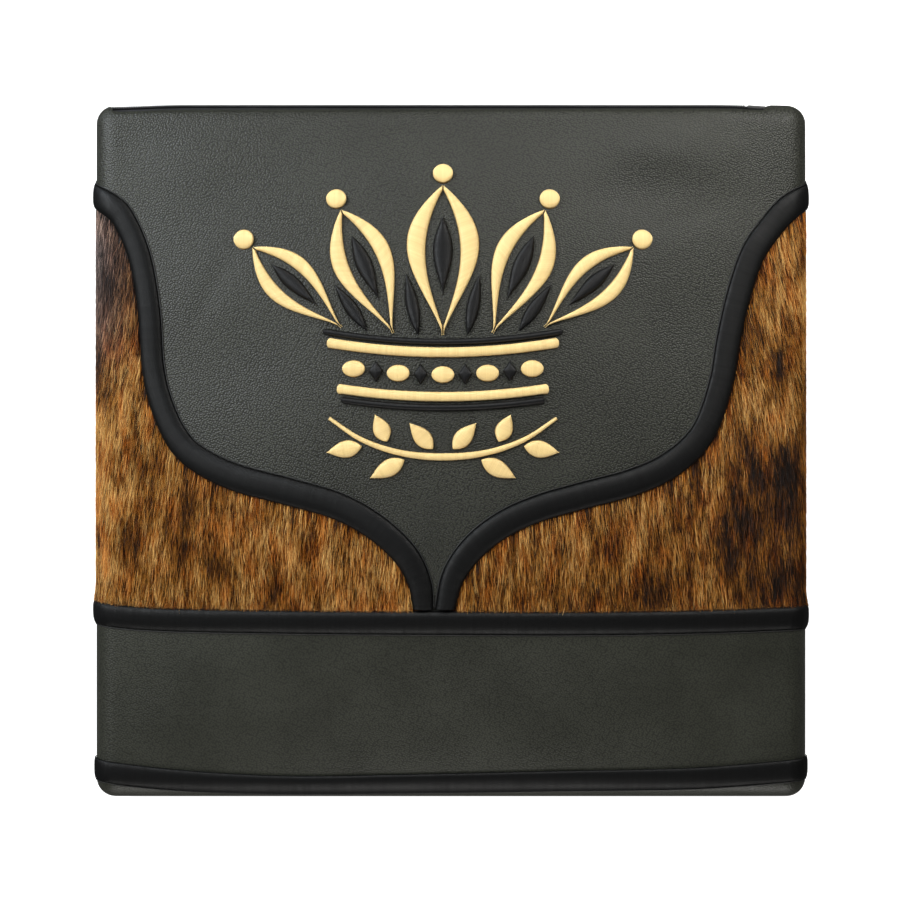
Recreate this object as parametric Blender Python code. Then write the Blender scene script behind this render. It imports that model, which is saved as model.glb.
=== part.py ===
"""Tallit and tefillin bag: a square leather pouch with a shaped front, hide panels and satin trims.

Units are metres and +Z is up. The bag lies on its back with the zip towards +Y.
Front and back are described on a flat pattern, (across, up) from the middle of the bag, whose
border wraps round the rim down to the side seam.
"""

import math

import bmesh
import bpy
from mathutils import Vector

BAG_WIDTH = 0.360
BAG_HEIGHT = 0.352
CORNER_RADIUS = 0.013
EDGE_ROLL = 0.010
FRONT_BULGE = 0.024
BACK_BELLY = 0.0058
FULLNESS_CURVE = 0.8
LEATHER = 0.002
PIECE_GAP = 0.0004
SEAM_GAP = 0.0004
STITCH_GAP = 0.0005

TRIM_RISE = 0.0021
TIP_LENGTH = 0.014
BAND_WIDTH = 0.0116
LOWER_BAND_WIDTH = 0.0108
EMBROIDERY_RISE = 0.0016

ZIP_SLOT_HALF = 0.1645
ZIP_SLOT_DEPTH = 0.0024
TAPE_HALF = 0.1668
TAPE_THICKNESS = 0.0010
COIL_WIDTH = 0.0055
COIL_THICKNESS = 0.0022
COIL_START = -0.1640
COIL_END = 0.1505
SLIDER_LENGTH = 0.0095
SLIDER_WIDTH = 0.0080
PULL_WIDTH = 0.0050

ROLL_ARC = EDGE_ROLL * math.pi / 2
PATTERN_HALF_WIDTH = BAG_WIDTH / 2 + ROLL_ARC - EDGE_ROLL
PATTERN_HALF_HEIGHT = BAG_HEIGHT / 2 + ROLL_ARC - EDGE_ROLL
PATTERN_CORNER = CORNER_RADIUS + ROLL_ARC - EDGE_ROLL
SEAM_HEIGHT = EDGE_ROLL + BACK_BELLY + SEAM_GAP / 2
BEYOND_WIDTH = BAG_WIDTH / 2 + 0.02
BEYOND_HEIGHT = BAG_HEIGHT / 2 + 0.02

# Cells of each wall's grid: over the rim on each side, and between the rims
FRONT_CELLS = (6, 15)
BACK_CELLS = (4, 13)
# Spacing of the sections along the trims and the garland
CURVE_STATION = 0.0075
BAND_STATION = 0.016
RIM_STATION = 0.0026
GARLAND_STATION = 0.0095

# Soft dents and swells of the front: place, reach and height of each
DENTS = (
    # across, up, reach across, reach up, height
    (-0.024, 0.160, 0.040, 0.014, -0.0018),
    (0.044, 0.162, 0.040, 0.013, -0.0024),
    (0.114, 0.156, 0.036, 0.016, 0.0020),
    (0.102, 0.131, 0.036, 0.014, -0.0020),
    (-0.142, 0.150, 0.032, 0.020, 0.0018),
    (-0.100, 0.046, 0.040, 0.024, -0.0014),
    (0.112, 0.066, 0.030, 0.030, -0.0014),
    (-0.160, -0.118, 0.014, 0.022, -0.0012),
    (0.150, -0.128, 0.024, 0.016, -0.0014),
    (0.040, -0.124, 0.070, 0.022, -0.0010),
)

# Centre lines of the curved trims on the flat pattern, from the side seam down to the point
LEFT_CURVE = (
    # across, up, width
    (-0.1857, 0.1300, 0.0118),
    (-0.1715, 0.1230, 0.0118),
    (-0.1640, 0.1150, 0.0116),
    (-0.1560, 0.0960, 0.0114),
    (-0.1512, 0.0700, 0.0114),
    (-0.1490, 0.0410, 0.0114),
    (-0.1440, 0.0210, 0.0118),
    (-0.1350, 0.0035, 0.0124),
    (-0.1230, -0.0065, 0.0130),
    (-0.1050, -0.0145, 0.0133),
    (-0.0815, -0.0206, 0.0133),
    (-0.0560, -0.0280, 0.0132),
    (-0.0370, -0.0385, 0.0128),
    (-0.0226, -0.0520, 0.0124),
    (-0.0156, -0.0660, 0.0114),
    (-0.0138, -0.0787, 0.0098),
)
RIGHT_CURVE = (
    # across, up, width
    (0.1857, 0.1295, 0.0126),
    (0.1715, 0.1228, 0.0126),
    (0.1610, 0.1120, 0.0125),
    (0.1513, 0.0980, 0.0124),
    (0.1442, 0.0780, 0.0122),
    (0.1387, 0.0550, 0.0121),
    (0.1345, 0.0324, 0.0121),
    (0.1254, 0.0083, 0.0124),
    (0.1100, -0.0068, 0.0129),
    (0.0906, -0.0160, 0.0130),
    (0.0640, -0.0231, 0.0130),
    (0.0434, -0.0290, 0.0129),
    (0.0260, -0.0368, 0.0128),
    (0.0116, -0.0479, 0.0124),
    (0.0016, -0.0618, 0.0112),
    (-0.0029, -0.0787, 0.0096),
)
UPPER_BAND = (
    # across, up
    (-0.1857, -0.0826),
    (-0.1500, -0.0844),
    (-0.0750, -0.0852),
    (0.0000, -0.0854),
    (0.0600, -0.0858),
    (0.1250, -0.0854),
    (0.1857, -0.0850),
)
LOWER_BAND = (
    # across, up
    (-0.1857, -0.1592),
    (-0.1500, -0.1636),
    (-0.1150, -0.1670),
    (-0.0760, -0.1690),
    (0.0000, -0.1686),
    (0.0600, -0.1665),
    (0.1250, -0.1634),
    (0.1857, -0.1592),
)

# The embroidered crown is laid out from the middle of its band
CROWN_MIDDLE = (-0.004, 0.037)
CROWN_BAND_RISE = 0.005
CROWN_BARS = (
    # name, up, half length, width, thread
    ("crown_bar_lower", -0.0110, 0.052, 0.0050, "gold"),
    ("crown_bar_upper", 0.0110, 0.057, 0.0050, "gold"),
    ("crown_edge_lower", -0.0162, 0.050, 0.0032, "black"),
    ("crown_edge_upper", 0.0162, 0.059, 0.0032, "black"),
)
CROWN_LEAVES = (
    # name, across, up, tilt in degrees, length, half width
    ("middle", 0.000, 0.0195, 0.0, 0.075, 0.0180),
    ("inner_left", -0.0245, 0.0205, -23.0, 0.067, 0.0150),
    ("inner_right", 0.0245, 0.0205, 23.0, 0.067, 0.0150),
    ("outer_left", -0.0500, 0.0235, -48.0, 0.060, 0.0128),
    ("outer_right", 0.0500, 0.0235, 48.0, 0.060, 0.0128),
)
SMALL_LEAVES = (
    # name, across, up, tilt in degrees, length, half width
    ("inner_left", -0.0122, 0.0196, -11.0, 0.031, 0.0032),
    ("inner_right", 0.0122, 0.0196, 11.0, 0.031, 0.0032),
    ("outer_left", -0.0375, 0.0218, -35.0, 0.028, 0.0032),
    ("outer_right", 0.0375, 0.0218, 35.0, 0.028, 0.0032),
)
LEAF_RIB = (0.27, 0.52, 0.27)
BALL_RADIUS = 0.0050
OVAL_PLACES = (-0.044, -0.022, 0.0, 0.022, 0.044)
OVAL_SIZE = (0.0056, 0.0042)
LOZENGE_PLACES = (-0.033, -0.011, 0.011, 0.033)
LOZENGE_SIZE = (0.0036, 0.0052)
GARLAND_STEM = (
    # across, up, width
    (-0.056, -0.0215, 0.0016),
    (-0.040, -0.0320, 0.0024),
    (-0.021, -0.0385, 0.0030),
    (0.000, -0.0405, 0.0036),
    (0.021, -0.0385, 0.0030),
    (0.040, -0.0320, 0.0024),
    (0.056, -0.0215, 0.0016),
)
GARLAND_LEAVES = (
    # distance from the middle, up, tilt in degrees, length
    (0.0050, -0.0366, 42.0, 0.0170),
    (0.0190, -0.0420, 118.0, 0.0190),
    (0.0275, -0.0330, 24.0, 0.0145),
    (0.0400, -0.0353, 100.0, 0.0175),
)
GARLAND_LEAF_HALF_WIDTH = 0.0043

# Across a satin stitched relief: place from edge to edge, share of the rise
ARCH = ((0.0, 0.0), (0.19, 0.72), (0.5, 1.0), (0.81, 0.72), (1.0, 0.0))
TRIM_UNDERSIDE = (0.68, 0.34)

FINISHES = {
    # name: colour, roughness
    "leather": ((0.055, 0.055, 0.050), 0.55),
    "hide": ((0.220, 0.085, 0.030), 0.65),
    "satin": ((0.018, 0.018, 0.020), 0.50),
    "gold": ((0.800, 0.560, 0.230), 0.40),
    "black": ((0.012, 0.012, 0.014), 0.50),
    "tape": ((0.020, 0.020, 0.022), 0.80),
    "coil": ((0.015, 0.015, 0.016), 0.40),
    "slider": ((0.060, 0.060, 0.065), 0.35),
}


def clamp(value, limit):
    return max(-limit, min(limit, value))


def rim_point(across, up):
    """Plan position and height above the seam of a flat pattern point, before the filling."""
    inner = Vector((
        clamp(across, PATTERN_HALF_WIDTH - PATTERN_CORNER),
        clamp(up, PATTERN_HALF_HEIGHT - PATTERN_CORNER),
    ))
    outward = Vector((across, up)) - inner
    from_seam = max(0.0, PATTERN_CORNER - max(abs(outward.x), abs(outward.y)))
    angle = min(from_seam / EDGE_ROLL, math.pi / 2)
    inset = EDGE_ROLL * (1 - math.cos(angle)) + max(0.0, from_seam - ROLL_ARC)
    if outward.length > 0:
        inner += outward.normalized() * (CORNER_RADIUS - inset)
    return inner, EDGE_ROLL * math.sin(angle)


def fullness(plan):
    """1 in the middle of the bag and 0 on its silhouette."""
    return max(0.0, math.cos(math.pi * plan.x / BAG_WIDTH)) * max(
        0.0, math.cos(math.pi * plan.y / BAG_HEIGHT)
    )


def dent_height(plan):
    total = 0.0
    for across, up, reach_across, reach_up, height in DENTS:
        away = ((plan.x - across) / reach_across) ** 2 + ((plan.y - up) / reach_up) ** 2
        total += height * math.exp(-away)
    return total * min(1.0, 6 * fullness(plan))


def front_point(across, up):
    plan, roll = rim_point(across, up)
    filling = FRONT_BULGE * fullness(plan) ** FULLNESS_CURVE + dent_height(plan)
    return Vector((plan.x, plan.y, SEAM_HEIGHT + SEAM_GAP / 2 + roll + filling))


def back_point(across, up):
    plan, roll = rim_point(across, up)
    share = min(1.0, 1.9 * fullness(plan))
    belly = BACK_BELLY * share * share * (3 - 2 * share)
    return Vector((plan.x, plan.y, SEAM_HEIGHT - SEAM_GAP / 2 - roll - belly))


def outward_normal(surface, across, up):
    """Unit normal pointing out of the bag, read just inside the seam."""
    step = 0.0001
    across = clamp(across, PATTERN_HALF_WIDTH - 3 * step)
    up = clamp(up, PATTERN_HALF_HEIGHT - 5 * step)
    along_across = surface(across + step, up) - surface(across - step, up)
    along_up = surface(across, up + step) - surface(across, up - step)
    normal = along_across.cross(along_up).normalized()
    return normal if surface is front_point else -normal


def lifted(across, up, lift):
    return front_point(across, up) + outward_normal(front_point, across, up) * lift


def finish(name):
    material = bpy.data.materials.get(name) or bpy.data.materials.new(name)
    material.use_nodes = True
    colour, roughness = FINISHES[name]
    shader = material.node_tree.nodes["Principled BSDF"]
    shader.inputs["Base Color"].default_value = (*colour, 1.0)
    shader.inputs["Roughness"].default_value = roughness
    shader.inputs["Metallic"].default_value = 0.0
    return material


def add_object(name, mesh, material_name):
    bmesh.ops.recalc_face_normals(mesh, faces=mesh.faces)
    data = bpy.data.meshes.new(name)
    mesh.to_mesh(data)
    mesh.free()
    data.shade_smooth()
    data.set_sharp_from_angle(angle=math.radians(40))
    made = bpy.data.objects.new(name, data)
    bpy.context.scene.collection.objects.link(made)
    data.materials.append(finish(material_name))
    return made


def add_cutter(name, mesh):
    cutter = add_object(name, mesh, "leather")
    cutter.hide_render = True
    cutter.display_type = "WIRE"
    return cutter


def cut(made, cutter, operation):
    modifier = made.modifiers.new(f"{operation}_{cutter.name}", "BOOLEAN")
    modifier.operation = operation
    modifier.object = cutter
    modifier.solver = "EXACT"


def loft(mesh, rings):
    """Closed solid through rings that have equally many points."""
    loops = [[mesh.verts.new(point) for point in ring] for ring in rings]
    for near, far in zip(loops, loops[1:]):
        for i, corner in enumerate(near):
            j = (i + 1) % len(near)
            mesh.faces.new((corner, near[j], far[j], far[i]))
    mesh.faces.new(reversed(loops[0]))
    mesh.faces.new(loops[-1])


def pattern_lines(half, roll_cells, middle_cells):
    """Grid lines across the pattern, close together where it wraps round the rim."""
    flat = half - ROLL_ARC
    wrapped = [flat + ROLL_ARC * (i + 1) / roll_cells for i in range(roll_cells)]
    shares = [2 * i / middle_cells - 1 for i in range(middle_cells + 1)]
    middle = [flat * (0.72 * share + 0.28 * math.sin(share * math.pi / 2)) for share in shares]
    return [-place for place in reversed(wrapped)] + middle + wrapped


def shell_mesh(surface, roll_cells, middle_cells):
    """Leather wall: the outer skin, the inner skin one thickness inside, and the seam edge."""
    columns = pattern_lines(PATTERN_HALF_WIDTH, roll_cells, middle_cells)
    rows = pattern_lines(PATTERN_HALF_HEIGHT, roll_cells, middle_cells)
    cells = len(columns) - 1
    mesh = bmesh.new()
    skins = []
    for depth in (0.0, LEATHER):
        grid = bmesh.ops.create_grid(mesh, x_segments=cells, y_segments=cells, size=1.0)
        for corner in grid["verts"]:
            across = columns[round((corner.co.x + 1) / 2 * cells)]
            up = rows[round((corner.co.y + 1) / 2 * cells)]
            normal = outward_normal(surface, across, up)
            corner.co = surface(across, up) - normal * depth
        faces = {face for corner in grid["verts"] for face in corner.link_faces}
        skins.append([edge for face in faces for edge in face.edges if edge.is_boundary])
    bmesh.ops.bridge_loops(mesh, edges=skins[0] + skins[1])
    return mesh


def smooth_path(rows, spacing, roll_spacing):
    """Points along a smooth curve through the rows, closer together where it wraps the rim."""
    knots = [Vector(row) for row in rows]
    knots = [2 * knots[0] - knots[1]] + knots + [2 * knots[-1] - knots[-2]]
    fine = []
    for before, start, end, after in zip(knots, knots[1:], knots[2:], knots[3:]):
        for i in range(24):
            t = i / 24
            fine.append(0.5 * (
                2 * start + (end - before) * t + (2 * before - 5 * start + 4 * end - after) * t**2
                + (3 * start - 3 * end + after - before) * t**3
            ))
    fine.append(knots[-2])
    path = [fine[0]]
    travelled = 0.0
    for near, far in zip(fine, fine[1:]):
        travelled += (far.xy - near.xy).length
        wrapped = abs(far.x) > PATTERN_HALF_WIDTH - ROLL_ARC
        if travelled >= (roll_spacing if wrapped else spacing):
            path.append(far)
            travelled = 0.0
    if (path[-1].xy - fine[-1].xy).length < roll_spacing / 2:
        path.pop()
    path.append(fine[-1])
    return path


def side_directions(path, level_end=0.0):
    """Unit vectors across the path.

    They turn to run along the seam where the path ends on it, and level over the length given
    before its far end.
    """
    directions = []
    for i, point in enumerate(path):
        ahead = path[min(i + 1, len(path) - 1)].xy - path[max(i - 1, 0)].xy
        side = Vector((-ahead.y, ahead.x)).normalized()
        wrap = (abs(point.x) - PATTERN_HALF_WIDTH + ROLL_ARC) / ROLL_ARC
        if wrap > 0:
            along_seam = Vector((0.0, math.copysign(1.0, side.y)))
            side = side.lerp(along_seam, min(1.0, wrap)).normalized()
        to_end = (path[-1].xy - point.xy).length
        if to_end < level_end:
            level = Vector((math.copysign(1.0, side.x), 0.0))
            side = side.lerp(level, 1 - to_end / level_end).normalized()
        directions.append(side)
    return directions


def strip_edges(path, widths, level_end=0.0):
    """Left and right edge of a strip of the given widths along a path."""
    sides = side_directions(path, level_end)
    left = [point.xy + side * width / 2 for point, side, width in zip(path, sides, widths)]
    right = [point.xy - side * width / 2 for point, side, width in zip(path, sides, widths)]
    return left, right


def satin_relief(name, left, right, rise, material_name, underside=()):
    """Padded stitching between two edges on the flat pattern, lying just over the leather.

    The underside is flat from edge to edge, or follows the leather at the places given.
    """
    section = ARCH + tuple((place, 0.0) for place in underside)
    rings = []
    for start, end in zip(left, right):
        height = min(rise, 0.6 * (end - start).length)
        rings.append([
            lifted(*start.lerp(end, place), STITCH_GAP + share * height) for place, share in section
        ])
    mesh = bmesh.new()
    loft(mesh, rings)
    return add_object(name, mesh, material_name)


def offset_line(path, distance):
    """The path moved sideways by a distance, to its left where that is positive."""
    moved = []
    for i, point in enumerate(path):
        ahead = path[min(i + 1, len(path) - 1)] - path[max(i - 1, 0)]
        moved.append(point + Vector((-ahead.y, ahead.x)).normalized() * distance)
    return moved


def outline_prism(name, outline):
    """Upright block over a plan outline, taller than the bag is thick."""
    mesh = bmesh.new()
    base = mesh.faces.new([mesh.verts.new((point[0], point[1], -0.01)) for point in outline])
    grown = bmesh.ops.extrude_face_region(mesh, geom=[base])
    top = [item for item in grown["geom"] if isinstance(item, bmesh.types.BMVert)]
    bmesh.ops.translate(mesh, verts=top, vec=(0.0, 0.0, 0.09))
    return add_cutter(name, mesh)


def add_trims():
    """The four satin trims, and the joint lines under them in plan for the panels."""
    joints = {}
    for name, rows in (("left", LEFT_CURVE), ("right", RIGHT_CURVE)):
        path = smooth_path(rows, CURVE_STATION, RIM_STATION)
        left, right = strip_edges(path, [point.z for point in path], TIP_LENGTH)
        satin_relief(f"curved_trim_{name}", left, right, TRIM_RISE, "satin", TRIM_UNDERSIDE)
        joints[name] = [rim_point(*point.xy)[0] for point in path[::2] + path[-1:]]
    for name, rows, width in (
        ("upper", UPPER_BAND, BAND_WIDTH),
        ("lower", LOWER_BAND, LOWER_BAND_WIDTH),
    ):
        path = smooth_path(rows, BAND_STATION, RIM_STATION)
        left, right = strip_edges(path, [width] * len(path))
        satin_relief(f"{name}_band_trim", left, right, TRIM_RISE, "satin", TRIM_UNDERSIDE)
        joints[name] = [rim_point(*point)[0] for point in path[::2] + path[-1:]]
    return joints


def from_side(line):
    """The line, led out level past the silhouette that it starts on."""
    return [Vector((math.copysign(BEYOND_WIDTH, line[0].x), line[0].y))] + line


def add_front_panels(joints, zip_slot):
    """The front's four panels, cut from one shell along the joints that the trims cover."""
    half_gap = PIECE_GAP / 2
    left_shield, left_hide = (offset_line(joints["left"], side * half_gap) for side in (1, -1))
    right_hide, right_shield = (offset_line(joints["right"], side * half_gap) for side in (1, -1))
    band_over, band_under = (offset_line(joints["upper"], side * half_gap) for side in (1, -1))
    tip_height = band_over[len(band_over) // 2].y
    left_tip = Vector((left_hide[-1].x, tip_height))
    right_tip = Vector((right_hide[-1].x, tip_height))

    shield = [Vector((-BEYOND_WIDTH, BEYOND_HEIGHT))] + from_side(left_shield)
    shield += [Vector((left_shield[-1].x, tip_height)), Vector((right_shield[-1].x, tip_height))]
    shield += from_side(right_shield)[::-1] + [Vector((BEYOND_WIDTH, BEYOND_HEIGHT))]
    band_left = [point for point in from_side(band_over) if point.x < left_tip.x - LEATHER]
    band_right = [point for point in from_side(band_over[::-1]) if point.x > right_tip.x + LEATHER]
    base = [Vector((-BEYOND_WIDTH, -BEYOND_HEIGHT)), Vector((BEYOND_WIDTH, -BEYOND_HEIGHT))]
    base += from_side(band_under[::-1]) + [Vector((-BEYOND_WIDTH, band_under[0].y))]
    for name, outline, material_name in (
        ("shield_panel", shield, "leather"),
        ("hide_panel_left", from_side(left_hide) + [left_tip] + band_left[::-1], "hide"),
        ("hide_panel_right", from_side(right_hide) + [right_tip] + band_right[::-1], "hide"),
        ("base_panel", base, "leather"),
    ):
        panel = add_object(name, shell_mesh(front_point, *FRONT_CELLS), material_name)
        cut(panel, outline_prism(f"{name}_outline", outline), "INTERSECT")
        if name == "shield_panel":
            cut(panel, zip_slot, "DIFFERENCE")


def add_back_panel(zip_slot):
    panel = add_object("back_panel", shell_mesh(back_point, *BACK_CELLS), "leather")
    cut(panel, zip_slot, "DIFFERENCE")


def add_zip_slot():
    mesh = bmesh.new()
    bmesh.ops.create_cube(mesh, size=1.0)
    depth = ZIP_SLOT_DEPTH + 0.01
    bmesh.ops.scale(mesh, verts=mesh.verts, vec=(2 * ZIP_SLOT_HALF, depth, 2.4 * EDGE_ROLL))
    middle = (0.0, BAG_HEIGHT / 2 - ZIP_SLOT_DEPTH + depth / 2, SEAM_HEIGHT)
    bmesh.ops.translate(mesh, verts=mesh.verts, vec=middle)
    return add_cutter("zip_slot", mesh)


def rim_arc(radius, degrees):
    """Point of a circle about the middle of the top edge's roll: distance up, height."""
    angle = math.radians(degrees)
    return (
        BAG_HEIGHT / 2 - EDGE_ROLL + radius * math.cos(angle),
        SEAM_HEIGHT + radius * math.sin(angle),
    )


def add_zip():
    """Tapes tucked under the leather hems, the closed coil on them, and the slider at its end."""
    outer = EDGE_ROLL - LEATHER - 0.0005
    for name, first, last in (("front", 3.0, 60.0), ("back", -60.0, -3.0)):
        turns = [first + (last - first) * i / 5 for i in range(6)]
        section = [rim_arc(outer, turn) for turn in turns]
        section += [rim_arc(outer - TAPE_THICKNESS, turn) for turn in reversed(turns)]
        mesh = bmesh.new()
        loft(mesh, [[(x, *point) for point in section] for x in (-TAPE_HALF, TAPE_HALF)])
        add_object(f"zip_tape_{name}", mesh, "tape")

    foot = BAG_HEIGHT / 2 - EDGE_ROLL + outer + 0.0003
    top = foot + COIL_THICKNESS
    half = COIL_WIDTH / 2
    section = (
        (foot, -0.7 * half), (foot, 0.7 * half), (foot + COIL_THICKNESS / 2, half),
        (top, 0.6 * half), (top, -0.6 * half), (foot + COIL_THICKNESS / 2, -half),
    )
    mesh = bmesh.new()
    loft(mesh, [[(x, y, SEAM_HEIGHT + z) for y, z in section] for x in (COIL_START, COIL_END)])
    add_object("zip_teeth", mesh, "coil")
    add_slider(foot)


def add_slider(foot):
    """One piece: the body over the tapes, and its pull folded down along the back's rim."""
    start = COIL_END + 0.0004
    middle = start + SLIDER_LENGTH / 2
    crown = BAG_HEIGHT / 2 - 0.0002
    half = SLIDER_WIDTH / 2
    body = ((foot, -half), (foot, half), (crown - 0.0006, half), (crown, 0.7 * half),
            (crown, -0.7 * half), (crown - 0.0006, -half))
    mesh = bmesh.new()
    loft(mesh, [[(x, y, SEAM_HEIGHT + z) for y, z in body] for x in (start, start + SLIDER_LENGTH)])
    slider = add_object("zip_slider", mesh, "slider")

    turns = [-31.0 - 11.0 * i for i in range(5)]
    root = [(crown - 0.0004, SEAM_HEIGHT - half + 0.001), (foot + 0.0006, SEAM_HEIGHT - half + 0.001)]
    under = [rim_arc(EDGE_ROLL + 0.0004, turn) for turn in turns]
    over = [rim_arc(EDGE_ROLL + 0.0015, turn) for turn in reversed(turns)]
    mesh = bmesh.new()
    ends = (middle - PULL_WIDTH / 2, middle + PULL_WIDTH / 2)
    loft(mesh, [[(x, *point) for point in root + under + over] for x in ends])
    cut(slider, add_cutter("zip_pull", mesh), "UNION")


def on_crown(across, up):
    """Flat pattern point of a place given from the middle of the crown's band."""
    return Vector((CROWN_MIDDLE[0] + across, CROWN_MIDDLE[1] + up))


def band_lift(across):
    """How far the crown's band curves up at a distance from its middle."""
    return CROWN_BAND_RISE * (across / CROWN_BARS[1][2]) ** 2


def heading(tilt):
    """Unit vector on the flat pattern at an angle clockwise from straight up."""
    return Vector((math.sin(math.radians(tilt)), math.cos(math.radians(tilt))))


def leaf_edges(base, tilt, length, half_width, widest):
    """Edges of a slim leaf, stitched straight across."""
    ahead = heading(tilt)
    across = Vector((ahead.y, -ahead.x))
    left, right = [], []
    for i in range(7):
        t = i / 6
        swell = math.sin(math.pi * t**widest) if 0 < t < 1 else 0.0
        reach = across * max(0.0004, half_width * swell)
        left.append(base + ahead * length * t - reach)
        right.append(base + ahead * length * t + reach)
    return left, right


def crescent_edges(base, tilt, length, half_width, side):
    """Inner and outer edge of half a hollow leaf, whose stitches slant forward from inside."""
    ahead = heading(tilt)
    across = Vector((ahead.y, -ahead.x)) * side
    inner, outer = [], []
    for i in range(9):
        t = i / 8
        swell = math.sin(math.pi * t**1.3) ** 0.9 if 0 < t < 1 else 0.0
        hollow = max(0.0003, half_width * (0.54 * swell - 0.06))
        inner.append(base + ahead * length * t**1.12 + across * hollow)
        outer.append(base + ahead * length * t**0.95 + across * max(0.0009, half_width * swell))
    return inner, outer


def round_edges(middle, half_across, half_up, steps):
    """Edges of an oval, stitched from bottom to top."""
    lower, upper = [], []
    for i in range(steps + 1):
        turn = math.radians(18 + 144 * i / steps)
        offset = Vector((-half_across * math.cos(turn), 0.0))
        rise = Vector((0.0, half_up * math.sin(turn)))
        lower.append(middle + offset - rise)
        upper.append(middle + offset + rise)
    return upper, lower


def lozenge_edges(middle, half_across, half_up):
    upper, lower = [], []
    for share in (-0.92, 0.0, 0.92):
        offset = Vector((half_across * share, 0.0))
        rise = Vector((0.0, half_up * (1 - abs(share))))
        upper.append(middle + offset + rise)
        lower.append(middle + offset - rise)
    return upper, lower


def add_crown_band():
    for name, up, half_length, width, thread in CROWN_BARS:
        path = []
        for i in range(10):
            across = half_length * (2 * i / 9 - 1)
            point = on_crown(across, up + band_lift(across))
            path.append(point.to_3d())
        left, right = strip_edges(path, [width] * len(path))
        satin_relief(name, left, right, EMBROIDERY_RISE, thread)
    for i, across in enumerate(OVAL_PLACES, 1):
        edges = round_edges(on_crown(across, band_lift(across)), *OVAL_SIZE, 4)
        satin_relief(f"crown_oval_{i}", *edges, EMBROIDERY_RISE, "gold")
    for i, across in enumerate(LOZENGE_PLACES, 1):
        edges = lozenge_edges(on_crown(across, band_lift(across)), *LOZENGE_SIZE)
        satin_relief(f"crown_lozenge_{i}", *edges, EMBROIDERY_RISE, "black")


def add_crown_leaves():
    """Five hollow leaves, each with a black rib in it and a ball on its tip, and four small ones."""
    for name, across, up, tilt, length, half_width in CROWN_LEAVES:
        base = on_crown(across, up)
        for side, half_name in ((-1, "a"), (1, "b")):
            edges = crescent_edges(base, tilt, length, half_width, side)
            satin_relief(f"crown_leaf_{name}_{half_name}", *edges, EMBROIDERY_RISE, "gold")
        start, share, width = LEAF_RIB
        rib = base + heading(tilt) * length * start
        edges = leaf_edges(rib, tilt, length * share, half_width * width, 1.2)
        satin_relief(f"crown_rib_{name}", *edges, EMBROIDERY_RISE, "black")
        ball = base + heading(tilt) * (length + BALL_RADIUS + 0.0012)
        edges = round_edges(ball, BALL_RADIUS, BALL_RADIUS, 4)
        satin_relief(f"crown_ball_{name}", *edges, EMBROIDERY_RISE, "gold")
    for name, across, up, tilt, length, half_width in SMALL_LEAVES:
        edges = leaf_edges(on_crown(across, up), tilt, length, half_width, 0.9)
        satin_relief(f"crown_small_leaf_{name}", *edges, EMBROIDERY_RISE, "black")


def add_garland():
    """A leafy stem curving under the crown."""
    rows = [(*on_crown(across, up), width) for across, up, width in GARLAND_STEM]
    path = smooth_path(rows, GARLAND_STATION, GARLAND_STATION)
    left, right = strip_edges(path, [point.z for point in path])
    satin_relief("garland_stem", left, right, EMBROIDERY_RISE * 0.8, "gold")
    for side, side_name in ((-1, "left"), (1, "right")):
        for i, (across, up, tilt, length) in enumerate(GARLAND_LEAVES, 1):
            base = on_crown(side * across, up)
            edges = leaf_edges(base, side * tilt, length, GARLAND_LEAF_HALF_WIDTH, 0.8)
            satin_relief(f"garland_leaf_{side_name}_{i}", *edges, EMBROIDERY_RISE * 0.9, "gold")


def main():
    for existing in list(bpy.data.objects):
        bpy.data.objects.remove(existing)
    zip_slot = add_zip_slot()
    joints = add_trims()
    add_front_panels(joints, zip_slot)
    add_back_panel(zip_slot)
    add_zip()
    add_crown_band()
    add_crown_leaves()
    add_garland()


main()
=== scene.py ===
import math

import bmesh
import bpy
import numpy as np
from mathutils import Matrix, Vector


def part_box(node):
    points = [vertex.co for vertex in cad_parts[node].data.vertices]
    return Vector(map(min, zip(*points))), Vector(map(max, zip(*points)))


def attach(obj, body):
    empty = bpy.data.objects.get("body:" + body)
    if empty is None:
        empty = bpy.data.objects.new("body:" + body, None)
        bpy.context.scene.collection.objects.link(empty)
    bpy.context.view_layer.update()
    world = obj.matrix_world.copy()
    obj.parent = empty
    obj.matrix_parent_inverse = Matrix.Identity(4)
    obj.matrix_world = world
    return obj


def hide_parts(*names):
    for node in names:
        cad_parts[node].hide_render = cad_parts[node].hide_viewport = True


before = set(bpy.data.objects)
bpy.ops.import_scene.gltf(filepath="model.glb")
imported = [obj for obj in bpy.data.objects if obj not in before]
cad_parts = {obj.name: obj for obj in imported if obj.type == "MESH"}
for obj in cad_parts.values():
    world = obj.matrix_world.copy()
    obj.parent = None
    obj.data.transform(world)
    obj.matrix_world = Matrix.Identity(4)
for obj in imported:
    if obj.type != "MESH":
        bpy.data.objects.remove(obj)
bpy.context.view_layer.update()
print("frame loaded, pieces:", len(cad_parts))

# The bag in metres. It lies on its back with the zip towards +Y. Front and back are laid out on a
# flat pattern, (across, up) from the middle, whose border wraps round the rim to the side seam.
backLow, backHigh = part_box("back_panel")
bag = {
    "width": backHigh[0] - backLow[0],
    "height": backHigh[1] - backLow[1],
    "cornerRadius": 0.010,
    "edgeRoll": 0.010,
    "frontBulge": 0.024,
    "backBelly": 0.0058,
    "fullnessCurve": 0.8,
    "bellyReach": 1.9,
    "reliefReach": 6.0,
    "leather": 0.002,
    "seamGap": 0.0004,
    "pieceGap": 0.0004,
    "stitchGap": 0.0005,
    "edgeGap": 0.00015,
    "cornerDip": 0.0011,
    "dipFrom": 0.135,
    "dipReach": (0.038, 0.03),
}
rollArc = bag["edgeRoll"] * math.pi / 2
halfWidth = bag["width"] / 2 + rollArc - bag["edgeRoll"]
halfHeight = bag["height"] / 2 + rollArc - bag["edgeRoll"]
patternCorner = bag["cornerRadius"] + rollArc - bag["edgeRoll"]
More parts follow.
